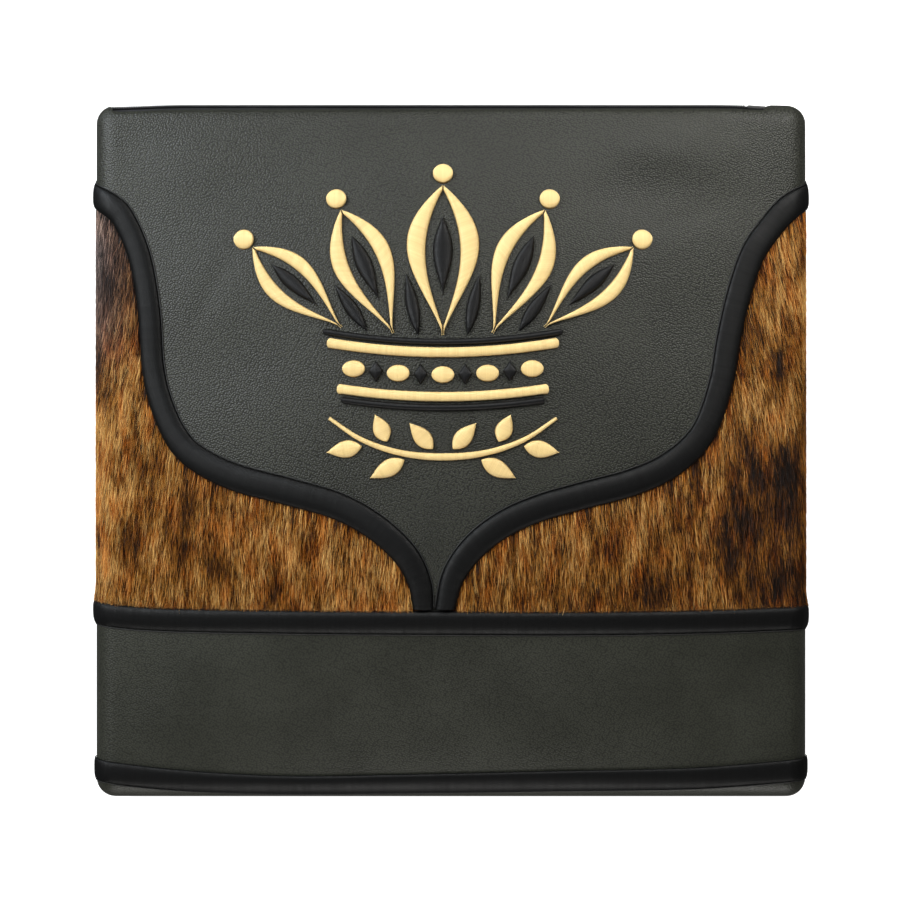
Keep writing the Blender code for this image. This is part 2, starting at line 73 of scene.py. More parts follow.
seamHeight = bag["edgeRoll"] + bag["backBelly"] + bag["seamGap"] / 2

# Soft dents and swells of the front: place, reach and height of each
dents = (
    # across, up, reach across, reach up, height
    (-0.024, 0.160, 0.040, 0.014, -0.0018),
    (0.044, 0.162, 0.040, 0.013, -0.0024),
    (0.114, 0.156, 0.036, 0.016, 0.0020),
    (0.102, 0.129, 0.044, 0.019, -0.0020),
    (0.172, 0.126, 0.013, 0.022, -0.0013),
    (-0.166, 0.150, 0.013, 0.018, -0.0010),
    (-0.142, 0.150, 0.032, 0.020, 0.0018),
    (-0.100, 0.046, 0.040, 0.024, -0.0014),
    (0.112, 0.066, 0.030, 0.030, -0.0014),
    (-0.160, -0.118, 0.014, 0.022, -0.0012),
    (0.150, -0.128, 0.024, 0.016, -0.0014),
    (0.040, -0.124, 0.070, 0.022, -0.0010),
)

# Narrow creases in the leather, finer than the dents
creases = (
    # across, up, direction in degrees, half length, half width, height
    (-0.060, 0.166, 12.0, 0.030, 0.0050, -0.00045),
    (0.082, 0.164, -16.0, 0.026, 0.0050, -0.00045),
    (0.140, 0.150, 38.0, 0.020, 0.0045, 0.00040),
    (-0.158, 0.140, -34.0, 0.018, 0.0045, -0.00040),
    (0.118, 0.116, 24.0, 0.024, 0.0050, -0.00040),
    (-0.118, 0.082, 62.0, 0.022, 0.0055, -0.00035),
    (-0.166, -0.102, -58.0, 0.013, 0.0027, -0.00060),
    (-0.160, -0.108, -55.0, 0.015, 0.0027, 0.00060),
    (-0.154, -0.116, -50.0, 0.014, 0.0028, -0.00050),
    (0.152, -0.112, 34.0, 0.020, 0.0036, -0.00035),
    (0.160, -0.126, 42.0, 0.018, 0.0036, 0.00030),
    (0.146, -0.142, 20.0, 0.018, 0.0040, -0.00030),
)


def eased(share):
    return share * share * (3 - 2 * share)


def cornerSag(planX, planY):
    # The two top corners, and the zip's ends with them, lie a little lower than the middle
    reachAcross, reachUp = bag["dipReach"]
    beside = np.clip((abs(planX) - bag["dipFrom"]) / reachAcross, 0.0, 1.0)
    near = np.clip((planY - bag["height"] / 2) / reachUp + 1, 0.0, 1.0)
    return bag["cornerDip"] * eased(beside) * near


def rimWrap(across):
    # 0 on the front and 1 where the side seam is reached
    return np.clip((abs(across) - halfWidth + rollArc) / rollArc, 0.0, 1.0)


def rimPlaces(across, up):
    # Plan place and height above the seam of flat pattern points, before the filling
    coreX = np.clip(across, patternCorner - halfWidth, halfWidth - patternCorner)
    coreY = np.clip(up, patternCorner - halfHeight, halfHeight - patternCorner)
    outX, outY = across - coreX, up - coreY
    fromSeam = np.maximum(0.0, patternCorner - np.maximum(abs(outX), abs(outY)))
    angle = np.minimum(fromSeam / bag["edgeRoll"], math.pi / 2)
    inset = bag["edgeRoll"] * (1 - np.cos(angle)) + np.maximum(0.0, fromSeam - rollArc)
    reach = (bag["cornerRadius"] - inset) / np.maximum(np.hypot(outX, outY), 1e-9)
    planX, planY = coreX + outX * reach, coreY + outY * reach
    return planX, planY - cornerSag(planX, planY), bag["edgeRoll"] * np.sin(angle)


def fullness(planX, planY):
    # 1 in the middle of the bag and 0 on its silhouette
    overWidth = np.maximum(0.0, np.cos(math.pi * planX / bag["width"]))
    return overWidth * np.maximum(0.0, np.cos(math.pi * planY / bag["height"]))


def swells(rows, planX, planY):
    # Soft round swells or spots, added up: each row holds a place, two reaches and a height
    total = np.zeros_like(planX)
    for across, up, reachAcross, reachUp, height in rows:
        away = ((planX - across) / reachAcross) ** 2 + ((planY - up) / reachUp) ** 2
        total += height * np.exp(-away)
    return total


def softRelief(planX, planY):
    total = swells(dents, planX, planY)
    for across, up, direction, halfLength, creaseHalf, height in creases:
        turn = math.radians(direction)
        along = (planX - across) * math.cos(turn) + (planY - up) * math.sin(turn)
        aside = (planY - up) * math.cos(turn) - (planX - across) * math.sin(turn)
        total += height * np.exp(-((along / halfLength) ** 2) - (aside / creaseHalf) ** 2)
    return total * np.minimum(1.0, bag["reliefReach"] * fullness(planX, planY))


def frontPlaces(across, up):
    planX, planY, roll = rimPlaces(across, up)
    filling = bag["frontBulge"] * fullness(planX, planY) ** bag["fullnessCurve"]
    filling += softRelief(planX, planY)
    return np.stack([planX, planY, seamHeight + bag["seamGap"] / 2 + roll + filling], -1)


def backPlaces(across, up):
    planX, planY, roll = rimPlaces(across, up)
    share = np.minimum(1.0, bag["bellyReach"] * fullness(planX, planY))
    belly = bag["backBelly"] * eased(share)
    return np.stack([planX, planY, seamHeight - bag["seamGap"] / 2 - roll - belly], -1)


def frontNormals(across, up):
    step = 0.0001
    across = np.clip(across, 3 * step - halfWidth, halfWidth - 3 * step)
    up = np.clip(up, 5 * step - halfHeight, halfHeight - 5 * step)
    alongAcross = frontPlaces(across + step, up) - frontPlaces(across - step, up)
    alongUp = frontPlaces(across, up + step) - frontPlaces(across, up - step)
    normals = np.cross(alongAcross, alongUp)
    return normals / np.linalg.norm(normals, axis=-1, keepdims=True)


def liftedPlaces(across, up, lift):
    return frontPlaces(across, up) + frontNormals(across, up) * np.asarray(lift)[..., None]


# Shader building

def newMaterial(name, roughness, specular=0.5):
    material = bpy.data.materials.new(name)
    material.use_nodes = True
    shader = material.node_tree.nodes["Principled BSDF"]
    shader.inputs["Roughness"].default_value = roughness
    shader.inputs["Specular IOR Level"].default_value = specular
    return material, material.node_tree, shader


def addNode(tree, kind, settings=None, **values):
    # Values go by the sockets' names, or by _ and a number, and an output given as one is joined
    node = tree.nodes.new(kind)
    for setting, value in (settings or {}).items():
        setattr(node, setting, value)
    for socketName, value in values.items():
        socket = node.inputs[int(socketName[1:])] if socketName[0] == "_" else node.inputs[socketName]
        if isinstance(value, bpy.types.NodeSocket):
            tree.links.new(value, socket)
        else:
            socket.default_value = value
    return node


def mathNode(tree, operation, first, second=0.0, clamped=False):
    settings = {"operation": operation, "use_clamp": clamped}
    return addNode(tree, "ShaderNodeMath", settings, _0=first, _1=second).outputs[0]


def summed(tree, *terms):
    total = terms[0]
    for term in terms[1:]:
        total = mathNode(tree, "ADD", total, term)
    return total


def mappedRange(tree, value, low, high, toLow=0.0, toHigh=1.0):
    node = addNode(tree, "ShaderNodeMapRange", _0=value, _1=low, _2=high, _3=toLow, _4=toHigh)
    return node.outputs[0]


def mixedColour(tree, share, first, second, blend="MIX"):
    node = addNode(tree, "ShaderNodeMix", {"data_type": "RGBA", "blend_type": blend})
    for index, value in ((0, share), (6, first), (7, second)):
        if isinstance(value, bpy.types.NodeSocket):
            tree.links.new(value, node.inputs[index])
        else:
            node.inputs[index].default_value = value if index == 0 else (*value, 1.0)
    return node.outputs[2]


def scaledPlace(tree, place, scale, turn=0.0):
    rotation = (0.0, 0.0, math.radians(turn))
    return addNode(tree, "ShaderNodeMapping", Vector=place, Scale=scale, Rotation=rotation).outputs[0]


def noiseAt(tree, place, scale, detail=2.0, roughness=0.5, output=0):
    # A scale of three numbers stretches the noise along the axes
    if isinstance(scale, tuple):
        place, scale = scaledPlace(tree, place, scale), 1.0
    values = {"Vector": place, "Scale": scale, "Detail": detail, "Roughness": roughness}
    return addNode(tree, "ShaderNodeTexNoise", **values).outputs[output]


def colourRamp(tree, value, stops):
    node = addNode(tree, "ShaderNodeValToRGB", Fac=value)
    ramp = node.color_ramp
    while len(ramp.elements) < len(stops):
        ramp.elements.new(0.5)
    for element, (position, colour) in zip(ramp.elements, stops):
        element.position = position
        element.color = (*colour, 1.0)
    return node.outputs["Color"]


def objectPlace(tree):
    return addNode(tree, "ShaderNodeTexCoord").outputs["Object"]


def readAttribute(tree, name, output):
    return addNode(tree, "ShaderNodeAttribute", {"attribute_name": name}).outputs[output]


def newGroup(name, inputs, outputs):
    # A shader node group with named inputs and outputs
    group = bpy.data.node_groups.new(name, "ShaderNodeTree")
    for inOut, sockets in (("INPUT", inputs), ("OUTPUT", outputs)):
        for socketName, kind in sockets:
            group.interface.new_socket(socketName, in_out=inOut, socket_type=f"NodeSocket{kind}")
    given = group.nodes.new("NodeGroupInput").outputs
    result = group.nodes.new("NodeGroupOutput").inputs
    return group, given, result


def useGroup(tree, group, **values):
    return addNode(tree, "ShaderNodeGroup", {"node_tree": group}, **values).outputs


def addBump(tree, shader, height, distance):
    bump = addNode(tree, "ShaderNodeBump", Height=height, Distance=distance)
    tree.links.new(bump.outputs["Normal"], shader.inputs["Normal"])


def finishShader(tree, shader, colour, roughness=None):
    tree.links.new(colour, shader.inputs["Base Color"])
    if roughness:
        tree.links.new(roughness, shader.inputs["Roughness"])


def makePebbleGrain():
    # Leather's pebbled surface: rounded cells parted by fine creases, and slanting stress lines
    group, given, result = newGroup(
        "pebbleGrain",
        (("Place", "Vector"), ("Cells", "Float"), ("Stress", "Float")),
        (("Height", "Float"), ("Creases", "Float")),
    )
    nudge = noiseAt(group, given["Place"], 330.0, output=1)
    bent = addNode(
        group, "ShaderNodeVectorMath", {"operation": "MULTIPLY_ADD"},
        _0=nudge, _1=(0.0003, 0.0003, 0.0003), _2=given["Place"],
    ).outputs[0]
    cells = addNode(
        group, "ShaderNodeTexVoronoi", {"feature": "SMOOTH_F1", "voronoi_dimensions": "2D"},
        Vector=scaledPlace(group, bent, (0.92, 1.08, 1.0), 24.0), Scale=given["Cells"],
        Smoothness=0.10, Randomness=0.72,
    ).outputs["Distance"]
    pebbles = mappedRange(group, mathNode(group, "MULTIPLY", cells, cells), 0.32, 0.0)
    skin = noiseAt(group, given["Place"], 1900.0)
    slanted = scaledPlace(group, given["Place"], (420.0, 120.0, 200.0), 52.0)
    lines = mappedRange(group, noiseAt(group, slanted, 1.0, 2.0, 0.6), 0.35, 0.65)
    shares = ((pebbles, 0.80), (skin, 0.25), (lines, given["Stress"]))
    height = summed(group, *(mathNode(group, "MULTIPLY", part, share) for part, share in shares))
    group.links.new(height, result["Height"])
    group.links.new(mathNode(group, "SUBTRACT", 1.0, pebbles, True), result["Creases"])
    return group


def makeSoftTones():
    # Broad uneven tone of handled cloth and leather, with a little fine dust in it
    group, given, result = newGroup(
        "softTones",
        (("Place", "Vector"), ("Colour", "Color"), ("Depth", "Float")),
        (("Colour", "Color"), ("Mask", "Float")),
    )
    broad = mathNode(group, "MULTIPLY", noiseAt(group, given["Place"], 26.0, 3.0), 0.7)
    fine = mathNode(group, "MULTIPLY", noiseAt(group, given["Place"], 240.0), 0.3)
    mask = mappedRange(group, summed(group, broad, fine), 0.32, 0.68)
    low = mathNode(group, "SUBTRACT", 1.0, given["Depth"])
    level = mappedRange(group, mask, 0.0, 1.0, low, summed(group, 1.0, given["Depth"]))
    scaling = {"operation": "SCALE"}
    shaded = addNode(group, "ShaderNodeVectorMath", scaling, _0=given["Colour"], Scale=level)
    group.links.new(shaded.outputs[0], result["Colour"])
    group.links.new(mask, result["Mask"])
    return group


def makeThreadToneAndShade():
    # Each thread of a satin stitch has its own tone, and its colour is darkened with painted shade
    # towards both edges of the pad, where it dives into the leather, and in the grooves between threads
    group, given, result = newGroup(
        "threadToneAndShade",
        (("Colour", "Color"), ("Dark", "Color"), ("Depth", "Float")),
        (("Colour", "Color"), ("GrooveShadeAndTone", "Float")),
    )
    tone = readAttribute(group, "threadToneGrooveShade", "Fac")
    across = readAttribute(group, "acrossThread", "Fac")
    fromMiddle = mathNode(group, "MULTIPLY", mathNode(group, "SUBTRACT", across, 0.5), 2.0)
    fromMiddle = mathNode(group, "ABSOLUTE", fromMiddle)
    # Painted shade: the colour darkens towards both edges of the pad
    edge = mappedRange(group, mathNode(group, "POWER", fromMiddle, 7.0), 0.25, 1.0)
    # Random tone of each thread, and painted shade in the grooves, which carry a low tone
    toneAndGrooveShade = mathNode(group, "MULTIPLY", mathNode(group, "SUBTRACT", 1.0, tone), given["Depth"])
    share = mathNode(group, "MAXIMUM", toneAndGrooveShade, edge, True)
    group.links.new(mixedColour(group, share, given["Colour"], given["Dark"]), result["Colour"])
    group.links.new(toneAndGrooveShade, result["GrooveShadeAndTone"])
    return group


# Brindle of the cowhide: black to straw, dark streaks running with the hair, and a painted sheen at the
# top left
brindle = {
    "patchScale": (105.0, 40.0, 30.0),
    "patchDepth": 0.26,
    "lockScale": (470.0, 52.0, 60.0),
    "lockDepth": 0.24,
    "rustScale": (150.0, 60.0, 60.0),
    "rust": (0.98, 0.70, 0.45),
    "base": 0.376,
    "ofStrand": (-0.43, 0.52),
    "ofTip": (-0.14, 0.18),
    "colours": (
        # place on the ramp, colour
        (0.00, (0.008, 0.005, 0.004)),
        (0.20, (0.028, 0.012, 0.005)),
        (0.38, (0.110, 0.036, 0.006)),
        (0.56, (0.290, 0.098, 0.010)),
        (0.76, (0.520, 0.220, 0.032)),
        (1.00, (0.800, 0.500, 0.170)),
    ),
    "patches": (
        # across, up, reach across, reach up, lighter or darker
        (-0.170, 0.096, 0.018, 0.030, -0.34),
        (-0.1725, 0.046, 0.006, 0.016, -0.34),
        (-0.160, 0.020, 0.010, 0.016, 0.16),
        (-0.169, -0.029, 0.011, 0.030, 0.26),
        (-0.1730, -0.038, 0.004, 0.009, -0.40),
        (-0.1455, -0.0015, 0.005, 0.007, -0.25),
        (-0.1430, -0.0255, 0.005, 0.008, -0.28),
        (-0.1530, -0.041, 0.0045, 0.011, -0.40),
        (-0.1270, -0.036, 0.005, 0.019, -0.34),
        (-0.1190, -0.035, 0.005, 0.008, 0.16),
        (-0.1085, -0.054, 0.005, 0.010, -0.44),
        (-0.1175, -0.0735, 0.004, 0.008, -0.34),
        (-0.0840, -0.067, 0.007, 0.010, -0.34),
        (-0.0770, -0.055, 0.004, 0.018, 0.18),
        (-0.0660, -0.0395, 0.005, 0.008, -0.24),
        (0.166, 0.093, 0.015, 0.028, 0.10),
        (0.1560, 0.0485, 0.006, 0.013, -0.36),
        (0.1545, 0.020, 0.011, 0.011, 0.34),
        (0.1440, 0.0060, 0.005, 0.012, -0.40),
        (0.1625, -0.0105, 0.014, 0.024, -0.44),
        (0.1375, -0.0300, 0.010, 0.013, -0.36),
        (0.1260, -0.020, 0.008, 0.013, 0.24),
        (0.1600, -0.064, 0.019, 0.014, -0.22),
        (0.1220, -0.0625, 0.0035, 0.011, 0.24),
        (0.0975, -0.0695, 0.006, 0.009, -0.30),
        (0.1480, -0.045, 0.044, 0.046, -0.20),
        (0.1740, -0.072, 0.012, 0.016, -0.16),
        (0.1780, 0.018, 0.008, 0.016, -0.26),
        (0.0640, -0.070, 0.022, 0.012, -0.18),
        (0.1300, -0.010, 0.070, 0.100, -0.06),
        (-0.1500, -0.075, 0.060, 0.030, -0.05),
    ),
    # Painted sheen: patches where the hair turns grey stand for light reflected at the top left
    "paintedSheens": (
        # across, up, reach across, reach up, share of grey, a painted sheen
        (-0.1740, 0.108, 0.018, 0.030, 0.90),
        (-0.1720, 0.070, 0.014, 0.022, 0.45),
    ),
    "paintedSheenGreys": ((0.024, 0.020, 0.019), (0.470, 0.370, 0.350)),
    "readings": {"patchTone": "patches", "paintedSheenShare": "paintedSheens"},
}


def makeBrindle():
    group, given, result = newGroup(
        "brindle",
        (("Place", "Vector"), *((name, "Float") for name in ("Patch", "Grey", "Tone", "Along"))),
        (("Colour", "Color"),),
    )
    patch = noiseAt(group, given["Place"], brindle["patchScale"], 3.0, 0.6)
    lock = noiseAt(group, given["Place"], brindle["lockScale"], 2.0, 0.6)
    total = summed(
        group, given["Patch"], brindle["base"],
        mappedRange(group, patch, 0.30, 0.70, -brindle["patchDepth"], brindle["patchDepth"]),
        mappedRange(group, lock, 0.30, 0.70, -brindle["lockDepth"], brindle["lockDepth"]),
        mappedRange(group, given["Tone"], 0.0, 1.0, *brindle["ofStrand"]),
        mappedRange(group, given["Along"], 0.0, 1.0, *brindle["ofTip"]),
    )
    golden = colourRamp(group, total, brindle["colours"])
    rusty = mixedColour(group, 1.0, golden, brindle["rust"], "MULTIPLY")
    redness = noiseAt(group, given["Place"], brindle["rustScale"], 2.0, 0.6)
    redness = summed(group, redness, mappedRange(group, given["Tone"], 0.0, 1.0, 0.10, -0.10))
    colour = mixedColour(group, mappedRange(group, redness, 0.42, 0.60), golden, rusty)
    level = addNode(group, "ShaderNodeRGBToBW", Color=colour).outputs[0]
    # Painted sheen: the colour is mixed towards grey where the sheen table reaches
    grey = mixedColour(group, mappedRange(group, level, 0.0, 0.34), *brindle["paintedSheenGreys"])
    group.links.new(mixedColour(group, given["Grey"], colour, grey), result["Colour"])
    return group


pebbleGrain = makePebbleGrain()
softTones = makeSoftTones()
threadToneAndShade = makeThreadToneAndShade()
brindleGroup = makeBrindle()


leather = {
    "colour": (0.029, 0.0305, 0.0215, 1.0),
    "creaseShadeColour": (0.006, 0.006, 0.005),
    "creaseShadeDepth": 0.86,
    "toneDepth": 0.20,
    "cells": 900.0,
    "stress": 0.20,
    "bump": 0.00018,
    "roughness": (0.41, 0.51),
    "grainShare": {"shield_leather": 1.0, "base_leather": 0.46, "back_leather": 0.8},
}


def makeLeather():
    material, tree, shader = newMaterial("leather", 0.46, 0.40)
    place = readAttribute(tree, "flatPlace", "Vector")
    tones = useGroup(tree, softTones, Place=place, Colour=leather["colour"], Depth=leather["toneDepth"])
    grain = useGroup(tree, pebbleGrain, Place=place, Cells=leather["cells"], Stress=leather["stress"])
    share = readAttribute(tree, "grainShare", "Fac")
    # Painted shade: the creases between pebbles are darkened towards near black
    creaseShade = mathNode(tree, "MULTIPLY", grain["Creases"], leather["creaseShadeDepth"])
    creaseShade = mathNode(tree, "MULTIPLY", creaseShade, mappedRange(tree, share, 0.0, 1.0, 0.5, 1.0))
    colour = mixedColour(tree, creaseShade, tones["Colour"], leather["creaseShadeColour"])
    finishShader(tree, shader, colour, mappedRange(tree, tones["Mask"], 0.0, 1.0, *leather["roughness"]))
    addBump(tree, shader, mathNode(tree, "MULTIPLY", grain["Height"], share), leather["bump"])
    return material


def makeSatin(name, colour, dark, depth, roughness, shine):
    material, tree, shader = newMaterial(name, roughness, 0.8 * shine)
    shader.inputs["Coat Roughness"].default_value = roughness + 0.04
    tones = useGroup(tree, threadToneAndShade, Colour=(*colour, 1.0), Dark=(*dark, 1.0), Depth=depth)
    rough = mappedRange(tree, tones["GrooveShadeAndTone"], 0.0, 0.7, roughness, roughness + 0.20)
    finishShader(tree, shader, tones["Colour"], rough)
    # Painted shade: the coat's sheen fades towards each trim's hair side, standing in for the shade of
    # the thick hide, and it is weaker on dark threads and in the shaded grooves
    beside = readAttribute(tree, "hairSideShade", "Fac")
    sheen = mappedRange(tree, beside, 0.0, 1.0, 0.9 * shine, 0.1 * shine)
    caught = mappedRange(tree, tones["GrooveShadeAndTone"], 0.0, 0.9 * depth, 1.5, 0.5)
    tree.links.new(mathNode(tree, "MULTIPLY", sheen, caught), shader.inputs["Coat Weight"])
    addBump(tree, shader, noiseAt(tree, objectPlace(tree), 2600.0, 3.0, 0.6), 0.00010)
    return material


def makeHair(name, placeFrom):
    # Hair reads the brindle at its root, and the skin under it reads it in place
    material, tree, shader = newMaterial(name, 0.46, 0.19)
    if placeFrom == "strand":
        place = readAttribute(tree, "rootPlace", "Vector")
        tone = readAttribute(tree, "strandTone", "Fac")
        along = readAttribute(tree, "alongStrand", "Fac")
    else:
        place = objectPlace(tree)
        tone = noiseAt(tree, place, (2600.0, 220.0, 200.0), 1.0)
        along = mathNode(tree, "MULTIPLY", tone, 0.3)
    colour = useGroup(
        tree, brindleGroup, Place=place, Tone=tone, Along=along,
        Patch=readAttribute(tree, "patchTone", "Fac"), Grey=readAttribute(tree, "paintedSheenShare", "Fac"),
    )["Colour"]
    if placeFrom != "strand":
        # Painted shade: the skin under the hair is darkened towards near black
        colour = mixedColour(tree, 0.55, colour, (0.012, 0.007, 0.004))
        addBump(tree, shader, tone, 0.0003)
    finishShader(tree, shader, colour)
    return material


def makeTape():
    material, tree, shader = newMaterial("zipTape", 0.82, 0.3)
    place = objectPlace(tree)
    tones = useGroup(tree, softTones, Place=place, Colour=(0.016, 0.016, 0.018, 1.0), Depth=0.2)
    finishShader(tree, shader, tones["Colour"])
    weave = addNode(
        tree, "ShaderNodeTexWave", {"wave_type": "BANDS", "bands_direction": "X"},
        Vector=place, Scale=520.0, Distortion=0.4,
    ).outputs["Fac"]
    addBump(tree, shader, weave, 0.00012)
    return material


def makePlain(name, colour, roughness, bumpScale, bumpDepth):
    material, tree, shader = newMaterial(name, roughness, 0.55)
    place = objectPlace(tree)
    tones = useGroup(tree, softTones, Place=place, Colour=(*colour, 1.0), Depth=0.25)
    rough = mappedRange(tree, tones["Mask"], 0.0, 1.0, roughness - 0.08, roughness + 0.10)
    finishShader(tree, shader, tones["Colour"], rough)
    addBump(tree, shader, noiseAt(tree, place, bumpScale), bumpDepth)
    return material


nearBlack = (0.001, 0.001, 0.001)
materials = {
    "leather": makeLeather(),
    "hide": makeHair("hideSkin", "surface"),
    "hair": makeHair("hideHair", "strand"),
    "trim_satin": makeSatin("trimSatin", (0.0031, 0.0032, 0.0034), nearBlack, 0.70, 0.37, 0.19),
    "gold_thread": makeSatin("goldThread", (0.96, 0.73, 0.33), (0.38, 0.20, 0.050), 0.44, 0.40, 0.42),
    "black_thread": makeSatin("blackThread", (0.0030, 0.0030, 0.0036), nearBlack, 0.50, 0.38, 0.26),
    "zip_tape": makeTape(),
    "zip_coil": makePlain("zipCoil", (0.014, 0.014, 0.015), 0.38, 900.0, 0.00002),
    "zip_slider": makePlain("zipSlider", (0.008, 0.008, 0.009), 0.48, 300.0, 0.00002),
    "seam_thread": makePlain("seamThread", (0.006, 0.006, 0.006), 0.60, 2400.0, 0.00004),
}
print("materials made:", len(materials))


# Mesh building

def startGrid(columns, rows):
    mesh = bmesh.new()
    mesh.loops.layers.uv.new("UVMap")
    bmesh.ops.create_grid(mesh, x_segments=columns, y_segments=rows, size=1.0, calc_uvs=True)
    corners = np.array([corner.co[:2] for corner in mesh.verts])
    return mesh, (corners + 1) / 2


def placeCorners(mesh, places):
    for corner, point in zip(mesh.verts, places):
        corner.co = point


def gridIndex(share, segments):
    return np.rint(share * segments).astype(int)


def smoothFaces(mesh):
    for face in mesh.faces:
        face.smooth = True


def closeMesh(mesh, doubled, distance):
    # Joins doubled corners, fills the open ends and turns every face outwards
    bmesh.ops.remove_doubles(mesh, verts=doubled, dist=distance)
    bmesh.ops.holes_fill(mesh, edges=[edge for edge in mesh.edges if edge.is_boundary], sides=0)
    bmesh.ops.recalc_face_normals(mesh, faces=mesh.faces)


def takeShape(mesh):
    # The corners and faces of a small shape that will be copied many times
    mesh.verts.index_update()
    corners = np.array([corner.co for corner in mesh.verts])
    faces = np.array([[corner.index for corner in face.verts] for face in mesh.faces])
    mesh.free()
    return corners, faces


def setAttribute(data, name, values):
    kind, field = ("FLOAT_VECTOR", "vector") if values.ndim == 2 else ("FLOAT", "value")
    layer = data.attributes.new(name, kind, "POINT")
    layer.data.foreach_set(field, values.astype(np.float32).ravel())


def finishPiece(name, data, material, nodes=()):
    data.materials.append(materials[material])
    piece = bpy.data.objects.new(name, data)
    bpy.context.scene.collection.objects.link(piece)
    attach(piece, "root")
    if nodes:
        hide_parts(*nodes)
    return piece


def meshPiece(name, mesh, material, nodes=()):
    data = bpy.data.meshes.new(name)
    mesh.to_mesh(data)
    mesh.free()
    return finishPiece(name, data, material, nodes)


def addWall(piece, thickness):
    wall = piece.modifiers.new("wall", "SOLIDIFY")
    wall.thickness = thickness
    wall.offset = -1.0
    return piece


def smoothPath(rows, spacing=None, steps=None):
    # Even stations along a smooth curve through the rows: across, up and what else the rows hold
    knots = np.array(rows, dtype=float)
    knots = np.vstack([2 * knots[0] - knots[1], knots, 2 * knots[-1] - knots[-2]])
    t = np.linspace(0.0, 1.0, 24, endpoint=False)[:, None]
    spans = [
        0.5 * (2 * start + (end - before) * t + (2 * before - 5 * start + 4 * end - after) * t**2
               + (3 * start - 3 * end + after - before) * t**3)
        for before, start, end, after in zip(knots, knots[1:], knots[2:], knots[3:])
    ]
    fine = np.vstack(spans + [knots[-2:-1]])
    lengths = np.linalg.norm(np.diff(fine[:, :2], axis=0), axis=1)
    travelled = np.concatenate([[0.0], np.cumsum(lengths)])
    steps = steps or 2 * round(travelled[-1] / spacing / 2)
    at = np.linspace(0.0, travelled[-1], steps + 1)
    return np.stack([np.interp(at, travelled, column) for column in fine.T], 1)


def sideDirections(path, levelEnd=0.0):
    # Across the path: along the seam where it ends on it, and level before its far end
    reach = 5
    last = len(path) - 1
    index = np.arange(len(path))
    ahead = path[np.minimum(index + reach, last), :2] - path[np.maximum(index - reach, 0), :2]
    sides = np.stack([-ahead[:, 1], ahead[:, 0]], 1)
    sides /= np.linalg.norm(sides, axis=1, keepdims=True)
    wrap = rimWrap(path[:, 0])[:, None]
    alongSeam = np.stack([np.zeros(len(path)), np.sign(sides[:, 1])], 1)
    sides = sides * (1 - wrap) + alongSeam * wrap
    if levelEnd:
        toEnd = np.linalg.norm(path[:, :2] - path[-1, :2], axis=1)
        level = np.clip(1 - toEnd / levelEnd, 0.0, 1.0)[:, None]
        straight = np.stack([np.sign(sides[:, 0]), np.zeros(len(path))], 1)
        sides = sides * (1 - level) + straight * level
    return sides / np.linalg.norm(sides, axis=1, keepdims=True)


def stripEdges(path, widths, levelEnd=0.0):
    reach = sideDirections(path, levelEnd) * np.asarray(widths)[:, None] / 2
    return path[:, :2] + reach, path[:, :2] - reach


# Satin stitching: every thread is a ridge of its own, laid across the piece
satin = {
    "trimPitch": 0.00045,
    "crownPitch": 0.00042,
    "threadDepth": 0.000075,
    "edgeUneven": 0.00006,
    "heightUneven": 0.010,
    "rimShare": 0.55,
    "padCurve": (3.2, 0.765),
    "riseOfWidth": 0.6,
    "bundle": 3,
    "grooveShadeTone": 0.12,
    "ridgeTone": (0.08, 0.58, 0.34),
    "awayFromHair": 0.43,
    "trimAcross": (0.0, 0.03, 0.10, 0.22, 0.38, 0.58, 0.76, 0.90, 0.97, 1.0),
    "crownAcross": (0.0, 0.07, 0.24, 0.50, 0.76, 0.93, 1.0),
    "trimUnderside": (0.68, 0.34),
}


def archHeight(place, crest=0.5):
    # The pad's section: 0 at both edges and 1 at the crest
    place = np.where(place < crest, place / crest, (1 - place) / (1 - crest))
    flatness, steepness = satin["padCurve"]
    return (1 - (1 - place) ** flatness) ** steepness


